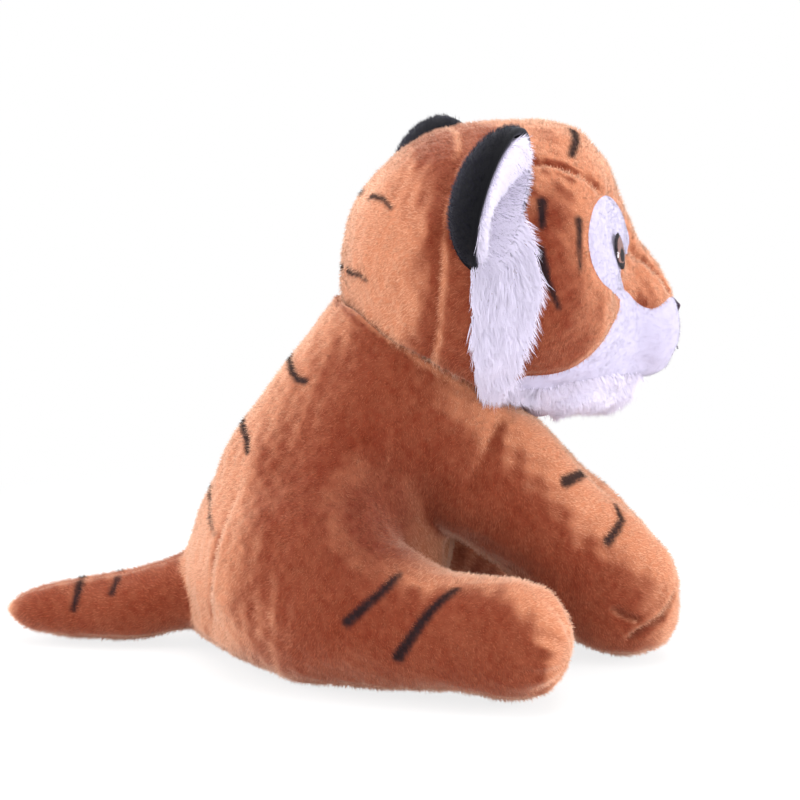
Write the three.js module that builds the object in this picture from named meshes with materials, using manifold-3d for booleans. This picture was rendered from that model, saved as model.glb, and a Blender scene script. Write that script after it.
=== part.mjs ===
// A sitting plush tiger: sewn skins over fibre fillings, in millimetres, +Z up.
// The toy faces -Y and +X is its own left. The floor is z = 0 and x = 0 is its middle plane.
// The origin is the middle of the flat seat. Inside the file y runs from the middle of the toy's span.
import * as THREE from 'three';
import { mergeVertices } from 'three/addons/utils/BufferGeometryUtils.js';
import Module from 'manifold-3d';

const wasm = await Module();
wasm.setup();

// Skins and seams
const skinThickness = 1.2;
const seamGap = 0.3;
const overrun = 60;

// Torso
const torsoHeight = 130;
const torsoDepth = 100;
const torsoWidth = 96;
const seatPanelHeight = 3.2;
const seatMiddleShare = 0.36;
const bellyPanelHalfWidth = 17;
const pelletBagHeight = 17;

// Neck seam
const neckY = -11;
const neckHeight = 112;
const neckTiltDegrees = 28.6;
const chinClearance = 2.6;

// Head
const headBack = 20;
const headMiddle = 140;
const headLength = 124;
const headHeight = 105;
const headWidth = 104;
const headTurnY = -15;
const headTurnDegrees = 12;

// Crown and nose bridge
const crownHalfWidth = 36;
const bridgeHalfWidth = 11;
const crownLowest = 129;

// Eyes, nose and mouth
const eyeTurnDegrees = 32;
const eyeTall = 13;
const eyeWide = 9.5;
const eyeThickness = 0.9;
const eyeX = 36;
const eyeY = -67;
const eyeZ = 149;
const noseWide = 13;
const noseTall = 8;
const noseThickness = 1.1;
const noseZ = 124;
const mouthThread = 1.1;
const mouthDrop = 7;
const mouthReach = 9;

// Ears
const earX = 48;
const earY = -24;
const earZ = 167;
const earTall = 49;
const earWide = 41;
const earDeep = 16;
const earTurnDegrees = 36;
const earLeanDegrees = 15;
const earBackThickness = 2.2;
const earDishDepth = 4;

// Long pile on the face
const ruffPile = 3.4;
const beardPile = 2.2;

// Forelegs
const shoulderX = 21;
const shoulderY = -12;
const shoulderZ = 84;
const forepawX = 18.2;
const forepawY = -80.5;
const forepawZ = 23.2;
const forelegHigh = 56;
const forelegFullness = { right: 1.04, left: 0.93 };
const forelegWide = 37;
const forelegPivotY = -38;
const forelegPivotZ = 86;
const forelegLiftDegrees = 12;

// Hind legs
const hipX = 45;
const hipShare = 0.3;
const hipY = hipShare * torsoDepth;
const hipZ = 34;
const hindpawX = 66;
const hindpawY = -36;
const hindpawZ = 22;
const hindlegHigh = 68;
const hindlegWide = 44;
const hipFlatX = 40;
const hindlegLiftDegrees = 20;

// Tail
const tailRootShare = 0.793;
const tailRootY = tailRootShare * torsoDepth;
const tailRootZ = 19;
const tailLength = 68;
const tailThickness = 28;
const tailTipZ = 12.6;

// Facets round a form, and steps between two rows of its table
const torsoSides = 22;
const headSides = 24;
const legSides = 16;
const tailSides = 12;
const rowSteps = 1;

// Torso rows: height, middle, depth and width, as shares of the torso's sizes.
const torsoShares = [
  [-0.008, seatMiddleShare, 0, 0],
  [-0.006, seatMiddleShare, 0.56, 0.56],
  [0.015, 0.37, 0.71, 0.7],
  [0.05, 0.37, 0.8, 0.8],
  [0.138, 0.33, 0.94, 0.93],
  [0.238, 0.31, 1, 1],
  [0.354, 0.27, 0.98, 0.99],
  [0.462, 0.22, 0.96, 0.96],
  [0.562, 0.173, 0.95, 0.91],
  [0.721, 0.063, 0.888, 0.835],
  [0.877, -0.05, 0.82, 0.77],
  [1, -0.14, 0.74, 0.7],
  [1.1, -0.2, 0.5, 0.5],
  [1.15, -0.23, 0, 0],
];

// Head rows: from back to nose, rise of the middle, height and width, as shares of the head's sizes.
const headShares = [
  [0, 0, 0, 0],
  [0.015, 0.005, 0.3, 0.3],
  [0.05, 0, 0.5, 0.53],
  [0.12, 0, 0.72, 0.77],
  [0.22, 0.004, 0.885, 0.93],
  [0.34, 0.005, 0.985, 1],
  [0.46, 0.006, 1, 1],
  [0.57, 0.006, 1, 0.97],
  [0.66, -0.003, 0.965, 0.88],
  [0.73, -0.03, 0.9, 0.69],
  [0.785, -0.085, 0.79, 0.52],
  [0.83, -0.13, 0.65, 0.43],
  [0.875, -0.158, 0.515, 0.4],
  [0.925, -0.192, 0.425, 0.36],
  [0.965, -0.205, 0.33, 0.3],
  [0.99, -0.205, 0.2, 0.19],
  [1, -0.205, 0, 0],
];

// Foreleg rows: along from shoulder to paw, bow, height and width, as shares.
const forelegShares = [
  [-0.16, 0, 0, 0],
  [-0.1, 0, 0.62, 0.62],
  [0, 0, 0.86, 0.86],
  [0.213, 0.02, 0.96, 1],
  [0.4, 0.035, 0.86, 1],
  [0.565, 0.03, 0.81, 0.99],
  [0.843, 0.01, 0.835, 0.97],
  [1, 0, 0.825, 0.94],
  [1.12, -0.01, 0.71, 0.82],
  [1.2, -0.02, 0.5, 0.6],
  [1.245, -0.02, 0.26, 0.32],
  [1.26, -0.02, 0, 0],
];

// Hind leg rows: along from hip to paw, bow, height and width, as shares.
const hindlegShares = [
  [-0.507, 0, 0, 0],
  [-0.49, 0, 0.26, 0.3],
  [-0.43, 0, 0.53, 0.58],
  [-0.33, 0, 0.76, 0.8],
  [-0.18, 0, 0.935, 0.95],
  [0, 0, 1, 1],
  [0.2, 0, 0.955, 1],
  [0.42, -0.04, 0.79, 0.97],
  [0.65, -0.05, 0.65, 0.93],
  [0.85, -0.02, 0.62, 0.87],
  [1, 0, 0.63, 0.84],
  [1.14, 0, 0.58, 0.76],
  [1.25, 0, 0.43, 0.62],
  [1.31, 0, 0.24, 0.34],
  [1.33, 0, 0, 0],
];

// Tail rows: along from root to tip, sag from root height to tip height, then thickness, as shares.
const tailShares = [
  [-0.205, 0, 0],
  [-0.19, 0, 0.36],
  [-0.14, 0, 0.73],
  [-0.07, 0, 0.94],
  [0, 0, 1],
  [0.14, 0.4, 1],
  [0.3, 0.84, 0.985],
  [0.5, 1.02, 0.89],
  [0.66, 1.08, 0.8],
  [0.78, 1.08, 0.7],
  [0.89, 1.03, 0.54],
  [0.96, 1, 0.33],
  [1, 1, 0],
];

// Seams of the head seen from its side: along from back to nose, and height, as shares.
const backSeamShares = [[0.175, -0.65], [0.187, -0.05], [0.195, 0.19], [0.245, 0.345], [0.315, 0.45], [0.34, 0.6]];
const muzzleSeamShares = [
  [1.1, -0.09], [0.953, -0.101], [0.919, -0.122], [0.885, -0.135], [0.852, -0.126], [0.818, -0.1],
  [0.77, -0.045], [0.715, -0.047], [0.745, -0.08], [0.75, -0.11], [0.706, -0.178], [0.654, -0.242],
  [0.6, -0.29], [0.53, -0.318], [0.42, -0.318], [0.4, -0.48], [0.4, -0.7], [1.1, -0.7],
];
const eyePatchShares = [
  [0.684, 0.275], [0.735, 0.258], [0.778, 0.21], [0.808, 0.15], [0.818, 0.1], [0.8, 0.068], [0.765, 0.045],
  [0.745, 0.02], [0.75, -0.01], [0.775, -0.05], [0.765, -0.08], [0.735, -0.07], [0.695, -0.035], [0.655, -0.005],
  [0.623, 0.05], [0.611, 0.11], [0.613, 0.17], [0.638, 0.24],
];
const faceSeamShares = [[0.72, 0.5], [0.712, 0.1], [0.76, -0.16], [1.1, -0.16], [1.1, 0.5]];
const ruffShares = [
  [0.258, 0.1], [0.3, 0.16], [0.36, 0.19], [0.44, 0.16], [0.48, 0.02], [0.445, -0.15], [0.42, -0.3],
  [0.41, -0.42], [0.37, -0.46], [0.29, -0.32], [0.26, -0.1],
];
const beardShares = [
  [0.4, -0.345], [0.484, -0.37], [0.56, -0.365], [0.64, -0.345], [0.74, -0.35], [0.84, -0.365], [0.885, -0.385],
  [0.885, -0.6], [0.4, -0.6],
];

// Crown outline seen from above: along from back to nose, and shares of the way from bridge to crown.
const crownShares = [
  [0.1, 1], [0.38, 1], [0.46, 0.92], [0.516, 0.88], [0.576, 0.95], [0.64, 0.96], [0.675, 0.93], [0.71, 0.84],
  [0.74, 0.68], [0.77, 0.5], [0.8, 0.34], [0.83, 0.25], [0.866, 0.14], [0.905, 0.05], [0.94, 0], [1.1, 0],
];

const radians = THREE.MathUtils.degToRad;
const sides = { right: -1, left: 1 };

const palette = {
  orangePlush: new THREE.MeshStandardMaterial({ color: 0xac5f48, roughness: 0.95, metalness: 0 }),
  whitePlush: new THREE.MeshStandardMaterial({ color: 0xe6e1f0, roughness: 0.95, metalness: 0 }),
  longWhitePile: new THREE.MeshStandardMaterial({ color: 0xdccfe4, roughness: 1, metalness: 0 }),
  blackPlush: new THREE.MeshStandardMaterial({ color: 0x23212e, roughness: 0.95, metalness: 0 }),
  fibreFill: new THREE.MeshStandardMaterial({ color: 0xf2f0ea, roughness: 1, metalness: 0 }),
  bagCloth: new THREE.MeshStandardMaterial({ color: 0xd9d4c6, roughness: 0.9, metalness: 0 }),
  eyeThread: new THREE.MeshStandardMaterial({ color: 0x3a2119, roughness: 0.5, metalness: 0 }),
  noseThread: new THREE.MeshStandardMaterial({ color: 0x8a5a55, roughness: 0.6, metalness: 0 }),
  darkThread: new THREE.MeshStandardMaterial({ color: 0x2a2024, roughness: 0.6, metalness: 0 }),
};

// Solids and meshes

function solidOf(geometry) {
  const plain = geometry.clone();
  plain.deleteAttribute('normal');
  plain.deleteAttribute('uv');
  const merged = mergeVertices(plain);
  return new wasm.Manifold(new wasm.Mesh({
    numProp: 3,
    vertProperties: new Float32Array(merged.attributes.position.array),
    triVerts: new Uint32Array(merged.index.array),
  }));
}

function meshOf(name, solid, material) {
  const cut = solid.getMesh();
  const geometry = new THREE.BufferGeometry();
  geometry.setAttribute('position', new THREE.BufferAttribute(new Float32Array(cut.vertProperties), 3));
  geometry.setIndex(new THREE.BufferAttribute(new Uint32Array(cut.triVerts), 1));
  geometry.computeVertexNormals();
  const mesh = new THREE.Mesh(geometry, material);
  mesh.name = name;
  return mesh;
}

// A block from one corner to the opposite one.
function block(low, high) {
  const size = new THREE.Vector3().subVectors(high, low);
  const geometry = new THREE.BoxGeometry(size.x, size.y, size.z);
  geometry.translate((low.x + high.x) / 2, (low.y + high.y) / 2, (low.z + high.z) / 2);
  return solidOf(geometry);
}

// Everything above a height.
function aboveFloor(height) {
  const far = headMiddle + headHeight + overrun;
  return block(new THREE.Vector3(-far, -far, height), new THREE.Vector3(far, far, far));
}

// Everything on one side of the middle plane and further out than a distance.
function outwardOf(side, distance) {
  const far = headMiddle + headHeight + overrun;
  const low = side > 0 ? distance : -far;
  const high = side > 0 ? far : -distance;
  return block(new THREE.Vector3(low, -far, -far), new THREE.Vector3(high, far, far));
}

// Everything on the head's side of the neck seam, from a distance past it.
function headSideOfNeck(distance) {
  const far = headMiddle + headHeight + overrun;
  const geometry = new THREE.BoxGeometry(far, far, far);
  geometry.translate(0, 0, far / 2 + distance);
  geometry.rotateX(radians(neckTiltDegrees));
  geometry.translate(0, neckY, neckHeight);
  return solidOf(geometry);
}

// A prism whose outline is drawn on the side view and which runs across the toy.
function sidePrism(outline) {
  const shape = new THREE.Shape(outline.map(([y, z]) => new THREE.Vector2(y, z)));
  const geometry = new THREE.ExtrudeGeometry(shape, { depth: headWidth + overrun, bevelEnabled: false });
  geometry.translate(0, 0, -(headWidth + overrun) / 2);
  const turn = new THREE.Matrix4().makeBasis(
    new THREE.Vector3(0, 1, 0), new THREE.Vector3(0, 0, 1), new THREE.Vector3(1, 0, 0));
  geometry.applyMatrix4(turn);
  return solidOf(geometry);
}

// A prism whose outline is drawn on the top view and which runs up from a height.
function upPrism(outline, height) {
  const shape = new THREE.Shape(outline.map(([x, y]) => new THREE.Vector2(x, y)));
  const geometry = new THREE.ExtrudeGeometry(shape, { depth: headHeight, bevelEnabled: false });
  geometry.translate(0, 0, height);
  return solidOf(geometry);
}

// An outline moved outwards by a distance, corner by corner.
function widened(outline, by) {
  const area = outline.reduce((sum, [x, y], i) => {
    const [nextX, nextY] = outline[(i + 1) % outline.length];
    return sum + x * nextY - nextX * y;
  }, 0);
  const turn = Math.sign(area);
  const points = outline.map(([x, y]) => new THREE.Vector2(x, y));
  return points.map((point, i) => {
    const before = points[(i + points.length - 1) % points.length];
    const after = points[(i + 1) % points.length];
    const inward = point.clone().sub(before).normalize();
    const onward = after.clone().sub(point).normalize();
    const normal = new THREE.Vector2(inward.y + onward.y, -inward.x - onward.x).normalize().multiplyScalar(turn);
    const spread = Math.max(normal.dot(new THREE.Vector2(inward.y, -inward.x).multiplyScalar(turn)), 1 / 2);
    return [point.x + normal.x * by / spread, point.y + normal.y * by / spread];
  });
}

// Rows of numbers with smooth rows put between them.
function smoothRows(rows) {
  const at = (i) => rows[Math.min(Math.max(i, 0), rows.length - 1)];
  const blended = [];
  for (let i = 0; i < rows.length - 1; i += 1) {
    for (let step = 0; step < rowSteps; step += 1) {
      const t = step / rowSteps;
      blended.push(rows[i].map((value, k) => {
        const [a, b, c, d] = [at(i - 1)[k], value, at(i + 1)[k], at(i + 2)[k]];
        return b + t * ((c - a) / 2 + t * (a - 2.5 * b + 2 * c - d / 2 + t * (1.5 * (b - c) + (d - a) / 2)));
      }));
    }
  }
  blended.push(rows[rows.length - 1]);
  return blended;
}

// A stuffed form: oval rings across a path, closed at a point at each end.
// Each ring has a middle, a half height and a half width; grow moves the whole surface outwards.
function stuffedForm(rings, facetCount, grow, facing) {
  const last = rings.length - 1;
  const tangents = rings.map((ring, i) => {
    if (facing) return facing.clone();
    const before = rings[Math.max(i - 1, 0)].middle;
    const after = rings[Math.min(i + 1, last)].middle;
    return after.clone().sub(before).normalize();
  });
  const vertices = [];
  const faces = [];
  const ends = [rings[0].middle.clone().addScaledVector(tangents[0], -grow),
    rings[last].middle.clone().addScaledVector(tangents[last], grow)];
  ends.forEach((end) => vertices.push(end.x, end.y, end.z));
  for (let i = 1; i < last; i += 1) {
    const across = new THREE.Vector3(1, 0, 0).addScaledVector(tangents[i], -tangents[i].x).normalize();
    const up = new THREE.Vector3().crossVectors(tangents[i], across);
    for (let j = 0; j < facetCount; j += 1) {
      const angle = (2 * Math.PI * j) / facetCount;
      const point = rings[i].middle.clone()
        .addScaledVector(across, (rings[i].halfWide + grow) * Math.cos(angle))
        .addScaledVector(up, (rings[i].halfHigh + grow) * Math.sin(angle));
      vertices.push(point.x, point.y, point.z);
    }
  }
  const corner = (i, j) => 2 + (i - 1) * facetCount + (j % facetCount);
  for (let j = 0; j < facetCount; j += 1) {
    faces.push(0, corner(1, j + 1), corner(1, j));
    faces.push(1, corner(last - 1, j), corner(last - 1, j + 1));
    for (let i = 1; i < last - 1; i += 1) {
      faces.push(corner(i, j), corner(i, j + 1), corner(i + 1, j + 1));
      faces.push(corner(i, j), corner(i + 1, j + 1), corner(i + 1, j));
    }
  }
  const geometry = new THREE.BufferGeometry();
  geometry.setAttribute('position', new THREE.Float32BufferAttribute(vertices, 3));
  geometry.setIndex(faces);
  return solidOf(geometry);
}

// Torso

function torsoForm(grow) {
  const rings = smoothRows(torsoShares).map(([height, middle, deep, wide]) => ({
    middle: new THREE.Vector3(0, middle * torsoDepth, height * torsoHeight),
    halfHigh: (deep * torsoDepth) / 2,
    halfWide: (wide * torsoWidth) / 2,
  }));
  return stuffedForm(rings, torsoSides, grow, new THREE.Vector3(0, 0, 1));
}

// The flat round seat that each thigh lies in, on one flank of the torso.
function hipSeat(side, grow) {
  const reach = torsoWidth;
  const radius = (hindlegHigh / 2 + seamGap + grow) / Math.cos(Math.PI / torsoSides);
  const geometry = new THREE.CylinderGeometry(radius, radius, reach, torsoSides);
  geometry.rotateZ(Math.PI / 2);
  geometry.translate(side * (hipFlatX - grow + reach / 2), hipY, hipZ);
  return solidOf(geometry);
}

function tailSocket(grow) {
  const geometry = new THREE.SphereGeometry(tailThickness / 2 + seamGap + grow, torsoSides, tailSides);
  geometry.translate(0, tailRootY, tailRootZ);
  return solidOf(geometry);
}

// The torso's surface at a depth under its skin, with its seats for the thighs and the tail.
function torsoSurface(depth) {
  return torsoForm(-depth)
    .subtract(hipSeat(sides.right, depth))
    .subtract(hipSeat(sides.left, depth))
    .subtract(tailSocket(depth))
    .intersect(aboveFloor(depth));
}

function torsoSkin() {
  return torsoSurface(0).subtract(torsoSurface(skinThickness)).subtract(headSideOfNeck(0));
}

function bellyRegion(grow) {
  const half = bellyPanelHalfWidth + grow;
  return block(new THREE.Vector3(-half, -torsoDepth, -overrun), new THREE.Vector3(half, grow, neckHeight + overrun));
}

function makeTorso(group) {
  const skin = torsoSkin();
  const seat = block(
    new THREE.Vector3(-torsoWidth, -torsoDepth, -overrun), new THREE.Vector3(torsoWidth, torsoDepth, seatPanelHeight));
  const upper = skin.intersect(aboveFloor(seatPanelHeight + seamGap));
  const flanks = upper.subtract(bellyRegion(seamGap));
  group.add(meshOf('torso_right_panel', flanks.intersect(outwardOf(sides.right, seamGap / 2)), palette.orangePlush));
  group.add(meshOf('torso_left_panel', flanks.intersect(outwardOf(sides.left, seamGap / 2)), palette.orangePlush));
  group.add(meshOf('torso_belly_panel', upper.intersect(bellyRegion(0)), palette.orangePlush));
  group.add(meshOf('torso_seat_panel', skin.intersect(seat), palette.orangePlush));

  const filling = torsoSurface(skinThickness + seamGap).subtract(headSideOfNeck(0));
  const bagTop = pelletBagHeight + skinThickness;
  group.add(meshOf('torso_stuffing', filling.intersect(aboveFloor(bagTop + seamGap)), palette.fibreFill));
  group.add(meshOf('seat_pellet_bag', filling.subtract(aboveFloor(bagTop)), palette.bagCloth));
}

// Legs and tail

// Rings along a straight path from a root to a paw, with a bow up from it.
function limbRings(rowShares, root, paw, high, wide) {
  const path = new THREE.Vector3().subVectors(paw, root);
  const across = new THREE.Vector3(1, 0, 0);
  const up = new THREE.Vector3().crossVectors(path, across).normalize();
  return smoothRows(rowShares).map(([along, bow, highShare, wideShare]) => ({
    middle: root.clone().addScaledVector(path, along).addScaledVector(up, bow * high),
    halfHigh: (highShare * high) / 2,
    halfWide: (wideShare * wide) / 2,
  }));
}

function forelegForm(side, grow) {
  const root = new THREE.Vector3(side * shoulderX, shoulderY, shoulderZ);
  const paw = new THREE.Vector3(side * forepawX, forepawY, forepawZ);
  const high = forelegHigh * (side < 0 ? forelegFullness.right : forelegFullness.left);
  return stuffedForm(limbRings(forelegShares, root, paw, high, forelegWide), legSides, grow);
}

// A neighbour's form as a limb meets it, turned about the limb's cross axis from rest to its full lift.
function metOverLift(form, liftDegrees, pivotY, pivotZ) {
  const turned = (share) => form.translate([0, -pivotY, -pivotZ]).rotate([share * liftDegrees, 0, 0])
    .translate([0, pivotY, pivotZ]);
  return turned(0).add(turned(1 / 2)).add(turned(1));
}

// What is left of a foreleg form beside the torso and under the chin.
function fittedForeleg(form) {
  return form.subtract(metOverLift(torsoForm(seamGap), forelegLiftDegrees, forelegPivotY, forelegPivotZ))
    .subtract(headSideOfNeck(-chinClearance));
}

function makeForeleg(group, sideName) {
  const side = sides[sideName];
  const cover = fittedForeleg(forelegForm(side, 0).intersect(aboveFloor(0))
    .subtract(forelegForm(side, -skinThickness).intersect(aboveFloor(skinThickness))));
  const depth = skinThickness + seamGap;
  const stuffing = fittedForeleg(forelegForm(side, -depth).intersect(aboveFloor(depth)));
  group.add(meshOf(`${sideName}_foreleg_cover`, cover, palette.orangePlush));
  group.add(meshOf(`${sideName}_foreleg_stuffing`, stuffing, palette.fibreFill));
}

function hindlegForm(side, grow) {
  const root = new THREE.Vector3(side * hipX, hipY, hipZ);
  const paw = new THREE.Vector3(side * hindpawX, hindpawY, hindpawZ);
  return stuffedForm(limbRings(hindlegShares, root, paw, hindlegHigh, hindlegWide), legSides, grow);
}

// What is left of a hind leg form beside the torso: inside its seat on the flank, and clear of the rest.
function fittedHindleg(form, side) {
  const flank = torsoForm(seamGap).subtract(hipSeat(side, -seamGap));
  return form.intersect(outwardOf(side, hipFlatX + seamGap))
    .subtract(metOverLift(flank, hindlegLiftDegrees, hipY, hipZ));
}

function makeHindleg(group, sideName) {
  const side = sides[sideName];
  const cover = fittedHindleg(hindlegForm(side, 0).intersect(aboveFloor(0))
    .subtract(hindlegForm(side, -skinThickness).intersect(aboveFloor(skinThickness))), side);
  const depth = skinThickness + seamGap;
  const stuffing = fittedHindleg(hindlegForm(side, -depth).intersect(aboveFloor(depth)), side);
  group.add(meshOf(`${sideName}_hind_leg_cover`, cover, palette.orangePlush));
  group.add(meshOf(`${sideName}_hind_leg_stuffing`, stuffing, palette.fibreFill));
}

function tailForm(grow) {
  const rings = smoothRows(tailShares).map(([along, sag, thick]) => ({
    middle: new THREE.Vector3(0, tailRootY + along * tailLength, tailRootZ + sag * (tailTipZ - tailRootZ)),
    halfHigh: (thick * tailThickness) / 2,
    halfWide: (thick * tailThickness) / 2,
  }));
  return stuffedForm(rings, tailSides, grow, new THREE.Vector3(0, 1, 0));
}

function makeTail(group) {
  const depth = skinThickness + seamGap;
  const opening = new THREE.CylinderGeometry(tailThickness / 4, tailThickness / 4, tailThickness / 2, tailSides);
  opening.translate(0, tailRootY - tailThickness / 2, tailRootZ);
  const cover = tailForm(0).subtract(tailForm(-skinThickness)).intersect(aboveFloor(0)).subtract(solidOf(opening));
  group.add(meshOf('tail_cover', cover, palette.orangePlush));
  group.add(meshOf('tail_stuffing', tailForm(-depth), palette.fibreFill));
}

// Head

function headForm(grow) {
  const rings = smoothRows(headShares).map(([along, rise, high, wide]) => ({
    middle: new THREE.Vector3(0, headBack - along * headLength, headMiddle + rise * headHeight),
    halfHigh: (high * headHeight) / 2,
    halfWide: (wide * headWidth) / 2,
  }));
  return stuffedForm(rings, headSides, grow, new THREE.Vector3(0, -1, 0));
}

// A head piece turned to the toy's left with the head, then cut along the neck seam.
function onNeck(solid) {
  return solid.translate([0, -headTurnY, 0]).rotate([0, 0, headTurnDegrees]).translate([0, headTurnY, 0])
    .subtract(cutUnderNeck());
}

function cutUnderNeck() {
  const far = headMiddle + headHeight + overrun;
  const geometry = new THREE.BoxGeometry(far, far, far);
  geometry.translate(0, 0, -far / 2 + seamGap);
  geometry.rotateX(radians(neckTiltDegrees));
  geometry.translate(0, neckY, neckHeight);
  return solidOf(geometry);
}

// An outline on the head's side view, from shares of its length and height.
function headOutline(pairs) {
  return pairs.map(([along, rise]) => [headBack - along * headLength, headMiddle + rise * headHeight]);
}

function backRegion(grow) {
  const seam = headOutline(backSeamShares);
  const rear = headBack + overrun;
  const outline = [...seam, [rear, seam[seam.length - 1][1]], [rear, seam[0][1]]];
  return sidePrism(widened(outline, grow));
}

function muzzleRegion(grow) {
  return sidePrism(widened(headOutline(muzzleSeamShares), grow));
}

function crownRegion(grow) {
  const right = crownShares.map(([along, share]) => [
    -bridgeHalfWidth - share * (crownHalfWidth - bridgeHalfWidth), headBack - along * headLength]);
  const left = right.map(([x, y]) => [-x, y]).reverse();
  return upPrism(widened([...right, ...left], grow), crownLowest - grow);
}

// An oval post square to the face where an eye is stitched.
function eyePost(side, wide, tall, x, y, z) {
  const geometry = new THREE.CylinderGeometry(1, 1, headWidth / 2, headSides);
  geometry.scale(wide / 2, 1, tall / 2);
  geometry.rotateZ(side * radians(eyeTurnDegrees));
  geometry.translate(side * x, y, z);
  return solidOf(geometry);
}

function eyePatchRegion(grow) {
  return sidePrism(widened(headOutline(eyePatchShares), grow));
}

function makeHeadPanels(group) {
  const skin = headForm(0).subtract(headForm(-skinThickness));
  const back = skin.intersect(backRegion(0));
  const front = skin.subtract(backRegion(seamGap));
  const eyePatches = front.intersect(eyePatchRegion(0)).subtract(muzzleRegion(seamGap));
  const muzzle = front.intersect(muzzleRegion(0));
  const upper = front.subtract(muzzleRegion(seamGap)).subtract(eyePatchRegion(seamGap));
  const crown = upper.intersect(crownRegion(0));
  const cheeks = upper.subtract(crownRegion(seamGap));
  const face = (grow) => sidePrism(widened(headOutline(faceSeamShares), grow));
  group.add(meshOf('head_back_panel', onNeck(back), palette.orangePlush));
  group.add(meshOf('head_crown_panel', onNeck(crown), palette.orangePlush));
  group.add(meshOf('muzzle_panel', onNeck(muzzle), palette.whitePlush));
  for (const sideName of Object.keys(sides)) {
    const half = outwardOf(sides[sideName], 0);
    const cheek = cheeks.subtract(face(seamGap)).intersect(half);
    const noseSide = cheeks.intersect(face(0)).intersect(half);
    group.add(meshOf(`${sideName}_cheek_panel`, onNeck(cheek), palette.orangePlush));
    group.add(meshOf(`${sideName}_nose_side_panel`, onNeck(noseSide), palette.orangePlush));
    group.add(meshOf(`${sideName}_eye_patch`, onNeck(eyePatches.intersect(half)), palette.whitePlush));
  }
}

function makeHeadStuffing(group) {
  group.add(meshOf('head_stuffing', onNeck(headForm(-skinThickness - seamGap)), palette.fibreFill));
}

function makeEye(group, sideName) {
  const side = sides[sideName];
  const post = eyePost(side, eyeWide, eyeTall, eyeX, eyeY, eyeZ);
  const eye = headForm(seamGap + eyeThickness).subtract(headForm(seamGap)).intersect(post)
    .intersect(outwardOf(side, 0));
  group.add(meshOf(`${sideName}_eye`, onNeck(eye), palette.eyeThread));
}

function noseOutline(grow) {
  const geometry = new THREE.CylinderGeometry(1, 1, headLength / 8, headSides / 2);
  geometry.scale(noseWide / 2 + grow, 1, noseTall / 2 + grow);
  geometry.translate(0, headBack - headLength, noseZ);
  return solidOf(geometry);
}

function makeNose(group) {
  const nose = headForm(seamGap + noseThickness).subtract(headForm(seamGap)).intersect(noseOutline(0));
  group.add(meshOf('nose', onNeck(nose), palette.noseThread));
}

// A line of thread from under the nose down and then back along each side of the mouth.
function makeMouth(group) {
  const top = noseZ - noseTall / 2 - seamGap;
  const fork = top - mouthDrop;
  const outline = (side) => [
    [0, fork + mouthThread / 2], [side * mouthReach, fork - mouthReach / 3],
    [side * mouthReach, fork - mouthReach / 3 - mouthThread], [0, fork - mouthThread / 2]];
  const front = headBack - headLength;
  const slab = (points) => {
    const shape = new THREE.Shape(points.map(([x, z]) => new THREE.Vector2(x, z)));
    const geometry = new THREE.ExtrudeGeometry(shape, { depth: headLength / 4, bevelEnabled: false });
    geometry.rotateX(Math.PI / 2);
    geometry.translate(0, front + headLength / 8, 0);
    return solidOf(geometry);
  };
  const stem = slab([[-mouthThread / 2, top], [-mouthThread / 2, fork - mouthThread / 2],
    [mouthThread / 2, fork - mouthThread / 2], [mouthThread / 2, top]]);
  const line = stem.add(slab(outline(sides.left))).add(slab(outline(sides.right)));
  const thread = headForm(seamGap + mouthThread).subtract(headForm(seamGap)).intersect(line);
  group.add(meshOf('mouth_stitching', onNeck(thread), palette.darkThread));
}

function makeRuff(group, sideName) {
  const side = sides[sideName];
  const band = headForm(seamGap + ruffPile).subtract(headForm(seamGap))
    .intersect(sidePrism(headOutline(ruffShares)))
    .intersect(outwardOf(side, headWidth / 5))
    .subtract(earForm(side, seamGap));
  group.add(meshOf(`${sideName}_ruff`, onNeck(band), palette.longWhitePile));
}

function makeBeard(group) {
  const fringe = headForm(seamGap + beardPile).subtract(headForm(seamGap))
    .intersect(sidePrism(headOutline(beardShares)))
    .subtract(sidePrism(widened(headOutline(ruffShares), seamGap)));
  group.add(meshOf('chin_beard', onNeck(fringe), palette.longWhitePile));
}

// Ears

function earEgg(wide, tall, deep) {
  const geometry = new THREE.SphereGeometry(1, legSides, tailSides);
  geometry.scale(wide / 2, deep, tall / 2);
  return solidOf(geometry);
}

// Half an egg with its flat face to the front.
function earBowl(wide, tall, deep) {
  const far = earTall + overrun;
  return earEgg(wide, tall, deep)
    .intersect(block(new THREE.Vector3(-far, 0, -far), new THREE.Vector3(far, far, far)));
}

// An ear piece leaned forward, turned out and moved to where the ear stands.
function placeEar(side, solid) {
  return solid.rotate([earLeanDegrees, 0, 0]).rotate([0, 0, side * earTurnDegrees])
    .translate([side * earX, earY, earZ]);
}

function earForm(side, grow) {
  return placeEar(side, earBowl(earWide + 2 * grow, earTall + 2 * grow, earDeep + grow));
}

function makeEar(group, sideName) {
  const side = sides[sideName];
  const whole = earBowl(earWide, earTall, earDeep);
  const core = (grow) => [
    earWide - 2 * earBackThickness + 2 * grow, earTall - 2 * earBackThickness + 2 * grow,
    earDeep - earBackThickness + grow,
  ];
  const dish = earEgg(earWide - 4 * earBackThickness, earTall - 4 * earBackThickness, earDishDepth);
  const back = placeEar(side, whole.subtract(earEgg(...core(0))));
  const lining = placeEar(side, earBowl(...core(-seamGap)).subtract(dish));
  const head = headForm(seamGap);
  group.add(meshOf(`${sideName}_ear_back`, onNeck(back.subtract(head)), palette.blackPlush));
  group.add(meshOf(`${sideName}_ear_lining`, onNeck(lining.subtract(head)), palette.whitePlush));
}

// Assembly

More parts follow.
